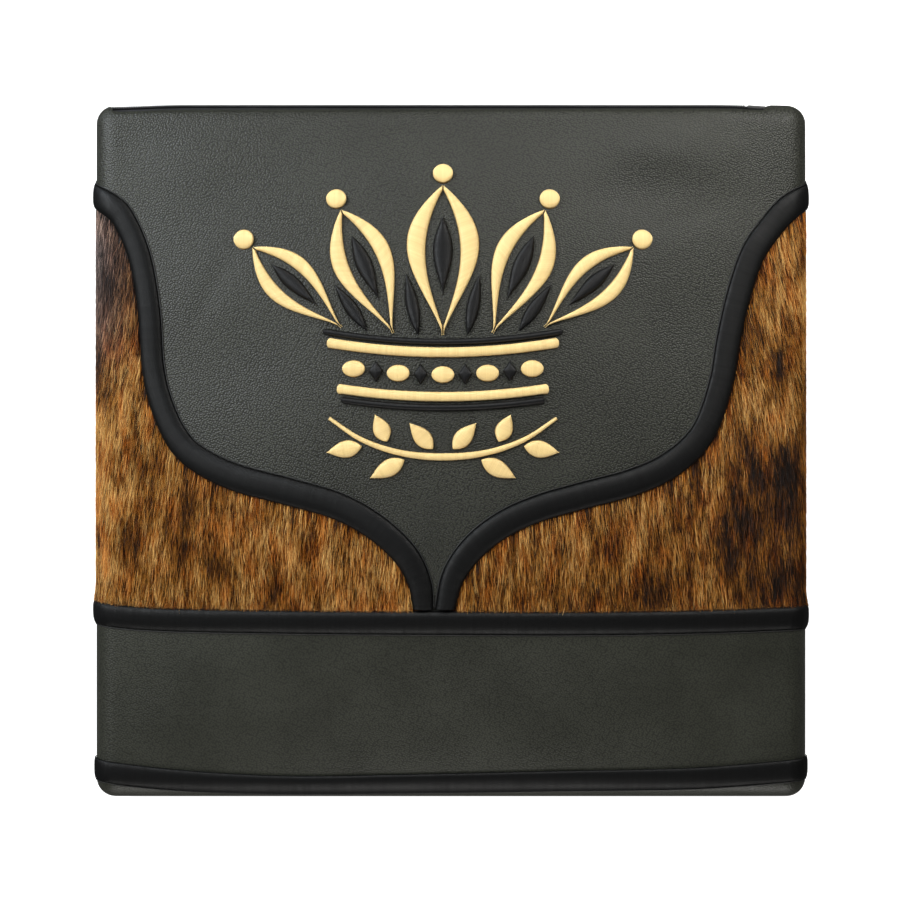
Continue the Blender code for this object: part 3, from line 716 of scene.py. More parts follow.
def satinPiece(name, node, edges, rise, acrossPlaces, underside, material, seed, crest=0.5, hairAt=None):
    # Each of the two edges holds two rows for each thread, its groove and then its ridge
    draw = np.random.default_rng(seed)
    left, right = edges
    rows = len(left)
    threads = (rows - 1) // 2
    places = np.array(acrossPlaces + underside + acrossPlaces[:1])
    shares = np.concatenate([archHeight(np.array(acrossPlaces), crest), np.zeros(len(underside) + 1)])

    isRidge = np.arange(rows) % 2 == 1
    uneven = np.zeros(rows)
    uneven[isRidge] = draw.normal(0.0, 1.0, threads)
    # Grooves between threads get a low tone that darkens their colour: painted shade
    tones = np.full(rows, satin["grooveShadeTone"])
    starts = np.arange(0, threads + satin["bundle"], satin["bundle"])
    bundles = np.interp(np.arange(threads), starts, draw.uniform(0.0, 1.0, len(starts)))
    lowest, ofBundle, ofThread = satin["ridgeTone"]
    tones[isRidge] = lowest + ofBundle * bundles + draw.uniform(0.0, ofThread, threads)
    widths = np.linalg.norm(right - left, axis=1)
    grown = 1 + 2 * satin["edgeUneven"] * (uneven + isRidge) / np.maximum(widths, 0.002)
    grown = np.where(widths < 0.001, 1.0, grown)
    heights = np.minimum(rise, satin["riseOfWidth"] * widths) * (1 + satin["heightUneven"] * uneven)
    # The pad thins as it turns under at the side seam
    heights *= 1 - (1 - satin["rimShare"]) * rimWrap(left[:, 0])
    ripple = np.where(isRidge, satin["threadDepth"], -satin["threadDepth"]) / 2
    ripple *= np.clip(widths / 0.002, 0.0, 1.0)

    mesh, share = startGrid(len(places) - 1, rows - 1)
    column = gridIndex(share[:, 0], len(places) - 1)
    row = gridIndex(share[:, 1], rows - 1)
    spot = (places[column] - 0.5) * grown[row] + 0.5
    flat = left[row] + (right[row] - left[row]) * spot[:, None]
    atEdge = (column == 0) | (column == len(acrossPlaces) - 1) | (column == len(places) - 1)
    lift = np.where(atEdge, bag["edgeGap"], bag["stitchGap"]) + shares[column] * heights[row]
    lift += np.where(shares[column] > 0, ripple[row], 0.0)
    placeCorners(mesh, liftedPlaces(flat[:, 0], flat[:, 1], lift))
    # 1 at a trim's hair side, where its sheen is cut as painted shade
    toHair = places * 0 + satin["awayFromHair"] if hairAt is None else 1 - abs(places - hairAt)
    readings = {"threadToneGrooveShade": tones[row], "acrossThread": places[column], "hairSideShade": toHair[column]}
    for label, values in readings.items():
        layer = mesh.verts.layers.float.new(label)
        for corner, value in zip(mesh.verts, values):
            corner[layer] = value

    mesh.verts.index_update()
    for edge in mesh.edges:
        first, second = (corner.index for corner in edge.verts)
        edge.smooth = bool(row[first] != row[second] or row[first] % 2 == 1)
    smoothFaces(mesh)
    rims = [corner for corner, c in zip(mesh.verts, column) if c in (0, len(places) - 1)]
    closeMesh(mesh, rims, 0.000002)
    return meshPiece(name, mesh, material, (node,))


# Centre lines of the curved trims on the flat pattern, from the side seam down to the point
trims = {
    "rise": {"left": 0.0021, "right": 0.0021, "upper": 0.0021, "lower": 0.0011},
    "tipLength": 0.014,
    "crest": {"left": 0.62, "right": 0.36, "upper": 0.36, "lower": 0.42},
    "hairAt": {"left": 1.0, "right": 0.0},
    "left": (
        # across, up, width
        (-0.1857, 0.1300, 0.0118),
        (-0.1715, 0.1230, 0.0118),
        (-0.1640, 0.1150, 0.0116),
        (-0.1560, 0.0960, 0.0114),
        (-0.1512, 0.0700, 0.0114),
        (-0.1490, 0.0410, 0.0114),
        (-0.1440, 0.0210, 0.0118),
        (-0.1350, 0.0035, 0.0124),
        (-0.1230, -0.0065, 0.0130),
        (-0.1050, -0.0145, 0.0133),
        (-0.0815, -0.0206, 0.0133),
        (-0.0560, -0.0280, 0.0132),
        (-0.0370, -0.0385, 0.0128),
        (-0.0226, -0.0520, 0.0124),
        (-0.0156, -0.0660, 0.0114),
        (-0.0138, -0.0787, 0.0098),
    ),
    "right": (
        # across, up, width
        (0.1857, 0.1295, 0.0126),
        (0.1715, 0.1228, 0.0126),
        (0.1610, 0.1120, 0.0125),
        (0.1513, 0.0980, 0.0124),
        (0.1442, 0.0780, 0.0122),
        (0.1387, 0.0550, 0.0121),
        (0.1345, 0.0324, 0.0121),
        (0.1254, 0.0083, 0.0124),
        (0.1100, -0.0068, 0.0129),
        (0.0906, -0.0160, 0.0130),
        (0.0640, -0.0231, 0.0130),
        (0.0434, -0.0290, 0.0129),
        (0.0260, -0.0368, 0.0128),
        (0.0116, -0.0479, 0.0124),
        (0.0016, -0.0618, 0.0112),
        (-0.0029, -0.0787, 0.0096),
    ),
    "upper": (
        # across, up, width
        (-0.1857, -0.0813, 0.0116),
        (-0.1500, -0.0844, 0.0116),
        (-0.0750, -0.0852, 0.0116),
        (0.0000, -0.0854, 0.0116),
        (0.0600, -0.0858, 0.0116),
        (0.1250, -0.0854, 0.0116),
        (0.1857, -0.0840, 0.0116),
    ),
    "lower": (
        # across, up, width
        (-0.1857, -0.1606, 0.0108),
        (-0.1500, -0.1648, 0.0108),
        (-0.1150, -0.1676, 0.0108),
        (-0.0760, -0.1689, 0.0108),
        (-0.0300, -0.1681, 0.0108),
        (0.0150, -0.1671, 0.0108),
        (0.0600, -0.1661, 0.0108),
        (0.0950, -0.1656, 0.0108),
        (0.1300, -0.1645, 0.0108),
        (0.1857, -0.1602, 0.0108),
    ),
}
trimPaths = {name: smoothPath(trims[name], satin["trimPitch"] / 2) for name in trims["rise"]}
trimEdges = {
    name: stripEdges(path, path[:, 2], trims["tipLength"] if name in trims["hairAt"] else 0.0)
    for name, path in trimPaths.items()
}
bandMiddle = trimPaths["upper"][len(trimPaths["upper"]) // 2, 1]


def addTrims():
    for seed, (name, edges) in enumerate(trimEdges.items(), 100):
        node = f"curved_trim_{name}" if name in trims["hairAt"] else f"{name}_band_trim"
        piece = satinPiece(
            f"{node}_satin", node, edges, trims["rise"][name], satin["trimAcross"],
            satin["trimUnderside"], "trim_satin", seed, trims["crest"][name], trims["hairAt"].get(name),
        )


addTrims()
print("satin trims stitched")


# The four front panels and the back meet under the trims
panels = {
    "cell": 0.0026,
    "backCell": 0.0033,
    "zipSlotEnds": (-0.1724, 0.1600),
    "zipSlotDepth": (0.0047, 0.0040),
    "notchEnd": 0.0060,
    "notchReach": 0.05,
    "followBand": 0.02,
}


def bandHeightAt(name, across):
    path = trimPaths[name]
    return np.interp(across, path[:, 0], path[:, 1])


def jointAcross(name, up):
    # Where the curved trim's centre line lies at a height; straight down below its tip
    path = trimPaths[name]
    return np.interp(up, path[::-1, 1], path[::-1, 0])


def zipNotch(across, up):
    # Takes the top edge back along the zip
    depth = np.interp(across, (-halfWidth, halfWidth), panels["zipSlotDepth"])
    slotArc = bag["edgeRoll"] * np.arccos(1 - depth / bag["edgeRoll"])
    first, last = panels["zipSlotEnds"]
    within = np.minimum(across - first, last - across) + panels["notchEnd"] / 2
    opened = eased(np.clip(within / panels["notchEnd"], 0.0, 1.0))
    return up - slotArc * opened * np.clip((up - halfHeight) / panels["notchReach"] + 1, 0.0, 1.0)


def leatherPanel(name, node, surface, layOut, size, slotName="leather", cell=panels["cell"]):
    # layOut turns a place on the grid, from 0 to 1 both ways, into a place on the flat pattern
    columns, rows = (round(length / cell) for length in size)
    mesh, share = startGrid(columns, rows)
    across, up = layOut(share[:, 0], share[:, 1])
    placeCorners(mesh, surface(across, up))
    smoothFaces(mesh)
    piece = meshPiece(name, mesh, slotName, (node,))
    setAttribute(piece.data, "flatPlace", np.stack([across, up, np.zeros_like(up)], 1))
    grain = np.full(len(up), leather["grainShare"].get(name, 1.0))
    setAttribute(piece.data, "grainShare", grain)
    return addWall(piece, bag["leather"])


def shieldLayOut(u, v):
    gap = bag["pieceGap"] / 2
    bottom = bandMiddle + gap
    up = bottom + v * (halfHeight - bottom)
    left = np.where(up > trims["left"][0][1], -halfWidth, jointAcross("left", up) + gap)
    right = np.where(up > trims["right"][0][1], halfWidth, jointAcross("right", up) - gap)
    across = left + u * (right - left)
    return across, zipNotch(across, up)


def baseLayOut(u, v):
    across = halfWidth * (2 * u - 1)
    top = bandHeightAt("upper", across) - bag["pieceGap"] / 2
    return across, -halfHeight + v * (top + halfHeight)


def backLayOut(u, v):
    across = halfWidth * (1 - 2 * u)
    return across, zipNotch(across, halfHeight * (2 * v - 1))


def hideLayOut(side):
    sign = -1 if side == "left" else 1
    top = trims[side][0][1] - bag["pieceGap"]

    def layOut(u, v):
        up = bandMiddle + v * (top - bandMiddle)
        joint = jointAcross(side, up) + sign * bag["pieceGap"] / 2
        outer = sign * halfWidth
        across = outer + (u if side == "left" else 1 - u) * (joint - outer)
        low = np.clip(1 - (up - bandMiddle) / panels["followBand"], 0.0, 1.0)
        return across, up + low * (bandHeightAt("upper", across) + bag["pieceGap"] / 2 - bandMiddle)
    return layOut


def addPanels():
    wide, tall = 2 * halfWidth, 2 * halfHeight
    shield = leatherPanel("shield_leather", "shield_panel", frontPlaces, shieldLayOut, (wide, 0.267))
    base = leatherPanel("base_leather", "base_panel", frontPlaces, baseLayOut, (wide, 0.097))
    back = leatherPanel(
        "back_leather", "back_panel", backPlaces, backLayOut, (wide, tall), cell=panels["backCell"],
    )
    for side, area in (("left", 0.0168), ("right", 0.0195)):
        hide = leatherPanel(
            f"hide_skin_{side}", f"hide_panel_{side}", frontPlaces, hideLayOut(side),
            (0.172, 0.215), "hide",
        )
        corners = np.empty(3 * len(hide.data.vertices), dtype=np.float32)
        hide.data.vertices.foreach_get("co", corners)
        for label, kind in brindle["readings"].items():
            setAttribute(hide.data, label, swells(brindle[kind], corners[::3], corners[1::3]))


addPanels()
print("leather panels laid")


# Hair of the two cowhide panels: short straight strands lying straight down over each other
hair = {
    "strands": {"left": 59500, "right": 67500},
    "pieces": 2,
    "length": (0.0060, 0.0115),
    "width": (0.00028, 0.00050),
    "thickness": 0.00014,
    "spread": 6.0,
    "swirl": 3.5,
    "lean": {  # (up, degrees to the right as it runs down)
        "left": ((-0.08, -1.0), (0.00, -3.0), (0.13, -7.0)),
        "right": ((-0.08, 0.0), (0.00, 3.0), (0.05, 10.0), (0.13, 12.0)),
    },
    "rootHeight": (-0.0002, 0.0002),
    "tipHeight": (0.0003, 0.0015),
    "flatAtRim": 0.7,
    "paleShare": 0.22,
    "paleLift": 0.0004,
    "underTrim": 0.0026,
    "lapOverBand": 0.0003,
    "longestLap": 0.0045,
    "aboveBand": 0.00015,
    "shortest": 0.0015,
    "fromSeam": 0.0002,
    "fromTrim": 0.0002,
    "farthestIn": 0.02,
    "aboveTip": 0.004,
    "tone": (0.36, 0.23),
    "paleTone": (0.75, 1.0),
    "roll": 0.40,
    "planShare": 0.965,
    "lockWidth": 0.0021,
    "lockPull": 0.35,
    "lockWave": (0.0009, 310.0, 90.0),
}


def strandRoots(side, count, draw):
    # The curved trim's edge on the side of the hair limits them
    sign, edge = (-1, trimEdges[side][1]) if side == "left" else (1, trimEdges[side][0])
    edgeAcross, edgeUp = edge[::-1].T
    bandTop = trims["upper"][3][1] + trims["upper"][3][2] / 2
    found = np.zeros((0, 2))
    while len(found) < count:
        across = sign * draw.uniform(-hair["farthestIn"], halfWidth - 0.0003, 4 * count)
        up = draw.uniform(bandTop, edgeUp[-1] + hair["underTrim"], 4 * count)
        limit = np.interp(up - hair["underTrim"], edgeUp, edgeAcross)
        beside = np.interp(up, edgeUp, edgeAcross) + sign * hair["fromTrim"]
        inside = sign * across > np.maximum(sign * limit, sign * beside)
        under = (sign * across > sign * limit) & (up < edgeUp[-1] + hair["underTrim"])
        clear = inside | (under & (up > edgeUp[0] + hair["aboveTip"]))
        found = np.vstack([found, np.stack([across, up], 1)[clear]])
    return found[:count]


def strandTemplate():
    # One strand: a three-sided spike with a ridge along its top
    mesh = bmesh.new()
    bmesh.ops.create_cone(
        mesh, cap_ends=True, cap_tris=False, segments=3, radius1=1.0, radius2=0.0, depth=1.0,
    )
    bmesh.ops.recalc_face_normals(mesh, faces=mesh.faces)
    return takeShape(mesh)


def copiedMesh(name, places, faces):
    # Many copies of one small shape of triangles, joined: places holds each copy's corners
    copies, corners = places.shape[:2]
    data = bpy.data.meshes.new(name)
    data.vertices.add(copies * corners)
    data.vertices.foreach_set("co", places.astype(np.float32).ravel())
    loops = (faces[None] + corners * np.arange(copies)[:, None, None]).ravel()
    data.loops.add(len(loops))
    data.loops.foreach_set("vertex_index", loops.astype(np.int32))
    data.polygons.add(len(loops) // 3)
    data.polygons.foreach_set("loop_start", np.arange(0, len(loops), 3, dtype=np.int32))
    data.update(calc_edges=True)
    data.shade_flat()
    return data


def addHair(side, seed):
    draw = np.random.default_rng(seed)
    count = hair["strands"][side]
    roots = strandRoots(side, count, draw)
    lengths = draw.uniform(*hair["length"], count)
    swirl = np.sin(roots[:, 0] * 61.0 + 1.3) + np.sin(roots[:, 1] * 47.0 + roots[:, 0] * 23.0 + seed)
    lean = np.interp(roots[:, 1], *zip(*hair["lean"][side]))
    turn = np.radians(lean + draw.normal(0.0, hair["spread"], count) + hair["swirl"] * swirl / 2)
    tips = roots + np.stack([np.sin(turn), -np.cos(turn)], 1) * lengths[:, None]

    # Neighbouring tips draw together into locks
    shift, wavesUp, wavesAcross = hair["lockWave"]
    lockShift = shift * np.sin(roots[:, 1] * wavesUp + roots[:, 0] * wavesAcross)
    lock = np.floor((tips[:, 0] + lockShift) / hair["lockWidth"] + 0.5)
    lockMiddle = lock * hair["lockWidth"] - lockShift
    tips[:, 0] += (lockMiddle - tips[:, 0]) * hair["lockPull"] * draw.uniform(0.0, 1.0, count)

    # Only a few tips lap over the band below, and they lie on its stitches
    bandTop = bandHeightAt("upper", tips[:, 0]) + trims["upper"][0][2] / 2
    lap = np.minimum(draw.exponential(hair["lapOverBand"], count), hair["longestLap"])
    tips[:, 1] = np.maximum(tips[:, 1], bandTop - lap)
    kept = roots[:, 1] - tips[:, 1] > hair["shortest"]
    roots, tips, bandTop = roots[kept], tips[kept], bandTop[kept]
    count = len(roots)
    over = np.clip((bandTop - tips[:, 1]) / trims["upper"][0][2], 0.0, 0.5)
    onStitches = bag["stitchGap"] + archHeight(over) * trims["rise"]["upper"] + hair["aboveBand"]
    farthest = halfWidth - hair["fromSeam"]
    tips[:, 0] = np.clip(tips[:, 0], -farthest, farthest)

    # Pale hairs lie on top of the others
    pale = draw.random(count) < hair["paleShare"]
    paleTones = draw.uniform(*hair["paleTone"], count)
    tones = np.where(pale, paleTones, np.clip(draw.normal(*hair["tone"], count), 0.0, 1.0))
    rootHeight = draw.uniform(*hair["rootHeight"], count)
    tipHeight = draw.uniform(*hair["tipHeight"], count) + pale * hair["paleLift"]
    tipHeight *= 1 - hair["flatAtRim"] * rimWrap(tips[:, 0])
    tipHeight = np.maximum(tipHeight, np.where(over > 0, onStitches, 0.0))
    start = liftedPlaces(roots[:, 0], roots[:, 1], rootHeight)
    end = liftedPlaces(tips[:, 0], tips[:, 1], tipHeight)
    along = end - start
    up = frontNormals(roots[:, 0], roots[:, 1])
    roll = draw.normal(0.0, hair["roll"], count)[:, None]
    sideways = np.cross(up, along)
    sideways /= np.linalg.norm(sideways, axis=1, keepdims=True)
    up, sideways = up + sideways * roll, sideways - up * roll

    template, faces = strandTemplate()
    width = draw.uniform(*hair["width"], count)[:, None, None] / 2
    places = (
        start[:, None] + sideways[:, None] * template[None, :, :1] * width
        + up[:, None] * template[None, :, 1:2] * hair["thickness"]
        + along[:, None] * (template[None, :, 2:] + 0.5)
    )
    readings = {"rootPlace": start, "strandTone": tones}
    for label, kind in brindle["readings"].items():
        readings[label] = swells(brindle[kind], roots[:, 0] * hair["planShare"], roots[:, 1])
    alongStrand = np.tile(template[:, 2] + 0.5, count)
    order = np.argsort(roots[:, 1])
    for part, chosen in enumerate(np.array_split(order, hair["pieces"]), 1):
        name = f"hide_hair_{side}_{part}"
        data = copiedMesh(name, places[chosen], faces)
        for label, values in readings.items():
            setAttribute(data, label, np.repeat(values[chosen], len(template), axis=0))
        setAttribute(data, "alongStrand", alongStrand[: len(template) * len(chosen)])
        finishPiece(name, data, "hair")


for seed, side in enumerate(("left", "right"), 7):
    addHair(side, seed)
print("hair grown")


# The embroidered crown, laid out from the middle of its band
crown = {
    "middle": (-0.004, 0.037),
    "rise": 0.0016,
    "bandRise": 0.005,
    "bars": (
        # node, up, half length, width, thread
        ("crown_bar_lower", -0.0110, 0.052, 0.0050, "gold_thread"),
        ("crown_bar_upper", 0.0110, 0.057, 0.0050, "gold_thread"),
        ("crown_edge_lower", -0.0162, 0.050, 0.0032, "black_thread"),
        ("crown_edge_upper", 0.0162, 0.059, 0.0032, "black_thread"),
    ),
    "leaves": (
        # name, across, up, tilt in degrees, length, half width
        ("middle", 0.000, 0.0195, 0.0, 0.075, 0.0180),
        ("inner_left", -0.0245, 0.0205, -23.0, 0.067, 0.0150),
        ("inner_right", 0.0245, 0.0205, 23.0, 0.067, 0.0150),
        ("outer_left", -0.0500, 0.0235, -48.0, 0.060, 0.0128),
        ("outer_right", 0.0500, 0.0235, 48.0, 0.060, 0.0128),
    ),
    "smallLeaves": (
        # name, across, up, tilt in degrees, length, half width
        ("inner_left", -0.0122, 0.0196, -11.0, 0.031, 0.0032),
        ("inner_right", 0.0122, 0.0196, 11.0, 0.031, 0.0032),
        ("outer_left", -0.0375, 0.0218, -35.0, 0.028, 0.0032),
        ("outer_right", 0.0375, 0.0218, 35.0, 0.028, 0.0032),
    ),
    "crescent": {"curve": (1.3, 0.9), "hollow": (0.54, 0.06), "lean": (1.12, 0.95)},
    "rib": (0.27, 0.52, 0.27),
    "widest": {"rib": 1.2, "small": 0.9, "garland": 0.8},
    "ballRadius": 0.0050,
    "ballGap": 0.0012,
    "ovals": (-0.044, -0.022, 0.0, 0.022, 0.044),
    "ovalSize": (0.0056, 0.0042),
    "lozenges": (-0.033, -0.011, 0.011, 0.033),
    "lozengeSize": (0.0036, 0.0052),
    "stem": (
        # across, up, width
        (-0.056, -0.0215, 0.0016),
        (-0.040, -0.0320, 0.0024),
        (-0.021, -0.0385, 0.0030),
        (0.000, -0.0405, 0.0036),
        (0.021, -0.0385, 0.0030),
        (0.040, -0.0320, 0.0024),
        (0.056, -0.0215, 0.0016),
    ),
    "stemLeaves": (
        # distance from the middle, up, tilt in degrees, length
        (0.0050, -0.0366, 42.0, 0.0170),
        (0.0190, -0.0420, 118.0, 0.0190),
        (0.0275, -0.0330, 24.0, 0.0145),
        (0.0400, -0.0353, 100.0, 0.0175),
    ),
    "stemLeafHalf": 0.0043,
}
crownSeeds = iter(range(500, 600))


def onCrown(across, up):
    return np.array([crown["middle"][0] + across, crown["middle"][1] + up])


def bandLift(across):
    return crown["bandRise"] * (across / crown["bars"][1][2]) ** 2


def heading(tilt):
    return np.array([math.sin(math.radians(tilt)), math.cos(math.radians(tilt))])


def threadStations(length):
    # From 0 to 1 along a shape, two stations for each thread
    return np.linspace(0.0, 1.0, 2 * max(3, round(length / satin["crownPitch"])) + 1)


def embroider(node, edges, thread="gold_thread", riseShare=1.0):
    rise = crown["rise"] * riseShare
    satinPiece(f"{node}_thread", node, edges, rise, satin["crownAcross"], (), thread, next(crownSeeds))


def leafFrame(tilt, length):
    # The way ahead, the way across it and the stations of the threads
    ahead = heading(tilt)
    return ahead, np.array([ahead[1], -ahead[0]]), threadStations(length)


def leafEdges(base, tilt, length, halfAcross, widest):
    ahead, across, t = leafFrame(tilt, length)
    swell = np.sin(math.pi * t**widest)
    reach = np.maximum(0.0002, halfAcross * swell)[:, None] * across
    line = base + ahead * (length * t)[:, None]
    return line - reach, line + reach


def crescentEdges(base, tilt, length, halfAcross, side):
    ahead, across, t = leafFrame(tilt, length)
    across = across * side
    (widest, fullest), (share, less), (innerLean, outerLean) = crown["crescent"].values()
    swell = np.maximum(0.0, np.sin(math.pi * t**widest)) ** fullest
    hollow = np.maximum(0.0003, halfAcross * (share * swell - less))[:, None]
    outer = np.maximum(0.0006, halfAcross * swell)[:, None]
    inner = base + ahead * (length * t**innerLean)[:, None] + across * hollow
    return inner, base + ahead * (length * t**outerLean)[:, None] + across * outer


def mirroredEdges(middle, across, up):
    return middle + np.stack([across, up], 1), middle + np.stack([across, -up], 1)


def roundEdges(middle, halfAcross, halfUp):
    turn = np.radians(6 + 168 * threadStations(2 * halfAcross))
    return mirroredEdges(middle, -halfAcross * np.cos(turn), halfUp * np.sin(turn))


def lozengeEdges(middle, halfAcross, halfUp):
    share = 0.97 * (2 * threadStations(2 * halfAcross) - 1)
    return mirroredEdges(middle, halfAcross * share, halfUp * (1 - abs(share)))


def addCrownBand():
    for node, up, halfLength, width, thread in crown["bars"]:
        across = halfLength * (2 * threadStations(2 * halfLength) - 1)
        path = np.stack([crown["middle"][0] + across, crown["middle"][1] + up + bandLift(across)], 1)
        ends = np.clip((halfLength + 0.0004 - abs(across)) / 0.0012, 0.0, 1.0)
        embroider(node, stripEdges(path, width * np.sqrt(ends)), thread)
    for i, across in enumerate(crown["ovals"], 1):
        edges = roundEdges(onCrown(across, bandLift(across)), *crown["ovalSize"])
        embroider(f"crown_oval_{i}", edges)
    for i, across in enumerate(crown["lozenges"], 1):
        edges = lozengeEdges(onCrown(across, bandLift(across)), *crown["lozengeSize"])
        embroider(f"crown_lozenge_{i}", edges, "black_thread")


def addCrownLeaves():
    for name, across, up, tilt, length, halfAcross in crown["leaves"]:
        base = onCrown(across, up)
        for side, half in ((-1, "a"), (1, "b")):
            edges = crescentEdges(base, tilt, length, halfAcross, side)
            embroider(f"crown_leaf_{name}_{half}", edges)
        start, share, width = crown["rib"]
        foot = base + heading(tilt) * length * start
        edges = leafEdges(foot, tilt, length * share, halfAcross * width, crown["widest"]["rib"])
        embroider(f"crown_rib_{name}", edges, "black_thread")
        radius = crown["ballRadius"]
        ball = base + heading(tilt) * (length + radius + crown["ballGap"])
        embroider(f"crown_ball_{name}", roundEdges(ball, radius, radius))
    for name, across, up, tilt, length, halfAcross in crown["smallLeaves"]:
        edges = leafEdges(onCrown(across, up), tilt, length, halfAcross, crown["widest"]["small"])
        embroider(f"crown_small_leaf_{name}", edges, "black_thread")


def addGarland():
    middle = np.array([*crown["middle"], 0.0])
    path = smoothPath(np.array(crown["stem"]) + middle, satin["crownPitch"] / 2)
    embroider("garland_stem", stripEdges(path, path[:, 2]), riseShare=0.8)
    for side, sideName in ((-1, "left"), (1, "right")):
        for i, (across, up, tilt, length) in enumerate(crown["stemLeaves"], 1):
            base, widest = onCrown(side * across, up), crown["widest"]["garland"]
            edges = leafEdges(base, side * tilt, length, crown["stemLeafHalf"], widest)
            embroider(f"garland_leaf_{sideName}_{i}", edges, riseShare=0.9)


addCrownBand()
addCrownLeaves()
addGarland()
print("crown embroidered")


# A thin dark cord lies in the crease along the leather side of each trim
seamCord = {
    "radius": 0.00030,
    "spacing": 0.0022,
    "outside": 0.0002,
    "sides": 6,
    "fromSeam": 0.0004,
    "lift": 0.9,
}


def addSeamCord(name, edges):
    # The cord lies along the left trim's left edge, and along the others' right or lower edge
    step = round(seamCord["spacing"] / (satin["trimPitch"] / 2))
    left, right = (edge[::step] for edge in edges)
    edge, aside = (left, left - right) if name == "left" else (right, right - left)
    aside /= np.linalg.norm(aside, axis=1, keepdims=True)
    line = edge + aside * (seamCord["outside"] + seamCord["radius"])
    farthest = halfWidth - seamCord["fromSeam"]
    line[:, 0] = np.clip(line[:, 0], -farthest, farthest)
    rows, sides = len(line), seamCord["sides"]
    mesh, share = startGrid(sides, rows - 1)
    turn = share[:, 0] * 2 * math.pi
    row = gridIndex(share[:, 1], rows - 1)
    flat = line[row] + aside[row] * (np.cos(turn) * seamCord["radius"])[:, None]
    lift = seamCord["radius"] * (seamCord["lift"] + np.sin(turn))
    placeCorners(mesh, liftedPlaces(flat[:, 0], flat[:, 1], lift))
    smoothFaces(mesh)
    closeMesh(mesh, mesh.verts, 0.000005)
    meshPiece(f"seam_cord_{name}", mesh, "seam_thread")


for name, edges in trimEdges.items():
    addSeamCord(name, edges)
print("seam cords laid")


# The zip along the top: two woven tapes, the closed coil and its slider
zipper = {
    "tapeHalf": 0.1735,
    "tapeThickness": 0.0010,
    "tapeGrid": (10, 84),
    "tapeRipple": (0.00010, 520.0),
    "coilStart": -0.1725,
    "coilEnd": 0.1505,
    "loopPitch": 0.0012,
    "loopRadius": 0.0015,
    "loopAside": 0.00105,
    "loopFlat": 0.95,
    "loopInset": (0.0008, 0.0006),
    "wireRadius": 0.00030,
    "coreSize": (0.0011, 0.0046),
    "sliderLength": 0.0095,
    "sliderWidth": 0.0080,
    "sliderTaper": 0.62,
    "sliderUnderRim": 0.0009,
    "bridgeSize": (0.0062, 0.0014, 0.0016),
    "pullWidths": (-0.0025, -0.0018, -0.0007, 0.0007, 0.0018, 0.0025),
    "pullTurns": (-33.0, -46.0),
    "pullWall": 0.0011,
    "pullOut": 0.0014,
}
rollMiddle = bag["height"] / 2 - bag["edgeRoll"]
tapeRadius = bag["edgeRoll"] - bag["leather"] - 0.0005
coilFoot = rollMiddle + tapeRadius + 0.0003


def rimArc(radius, degrees):
    # Distance up and height of a point of a circle about the middle of the top edge's roll
    angle = np.radians(degrees)
    return rollMiddle + radius * np.cos(angle), seamHeight + radius * np.sin(angle)


def sagCorners(mesh):
    for corner in mesh.verts:
        corner.co.y -= float(cornerSag(corner.co.x, corner.co.y))


def addBlock(mesh, size, middle, bevelled, segments, taper=1.0):
    # A box with rounded edges, narrowed by the taper at its far end
    corners = bmesh.ops.create_cube(mesh, size=1.0)["verts"]
    bmesh.ops.scale(mesh, verts=corners, vec=size)
    for corner in corners:
        if corner.co.x > 0:
            corner.co.z *= taper
    bmesh.ops.translate(mesh, verts=corners, vec=middle)
    bmesh.ops.bevel(
        mesh, geom=[edge for edge in mesh.edges if edge.verts[0] in corners], offset=bevelled,
        segments=segments, affect="EDGES", profile=0.5, material=-1,
    )


def addTapes():
    for side, first, last in (("front", 1.0, 80.0), ("back", -1.0, -80.0)):
        mesh, share = startGrid(*zipper["tapeGrid"])
        x = zipper["tapeHalf"] * (2 * share[:, 1] - 1) * (1 if side == "front" else -1)
        depth, waves = zipper["tapeRipple"]
        ripple = depth * np.sin(x * waves) * np.sin(share[:, 0] * math.pi)
        y, z = rimArc(tapeRadius - ripple + 0.0002, first + (last - first) * share[:, 0])
        placeCorners(mesh, np.stack([x, y - cornerSag(x, y), z], 1))
        smoothFaces(mesh)
        piece = meshPiece(f"zip_tape_{side}_cloth", mesh, "zip_tape", (f"zip_tape_{side}",))
        addWall(piece, zipper["tapeThickness"])


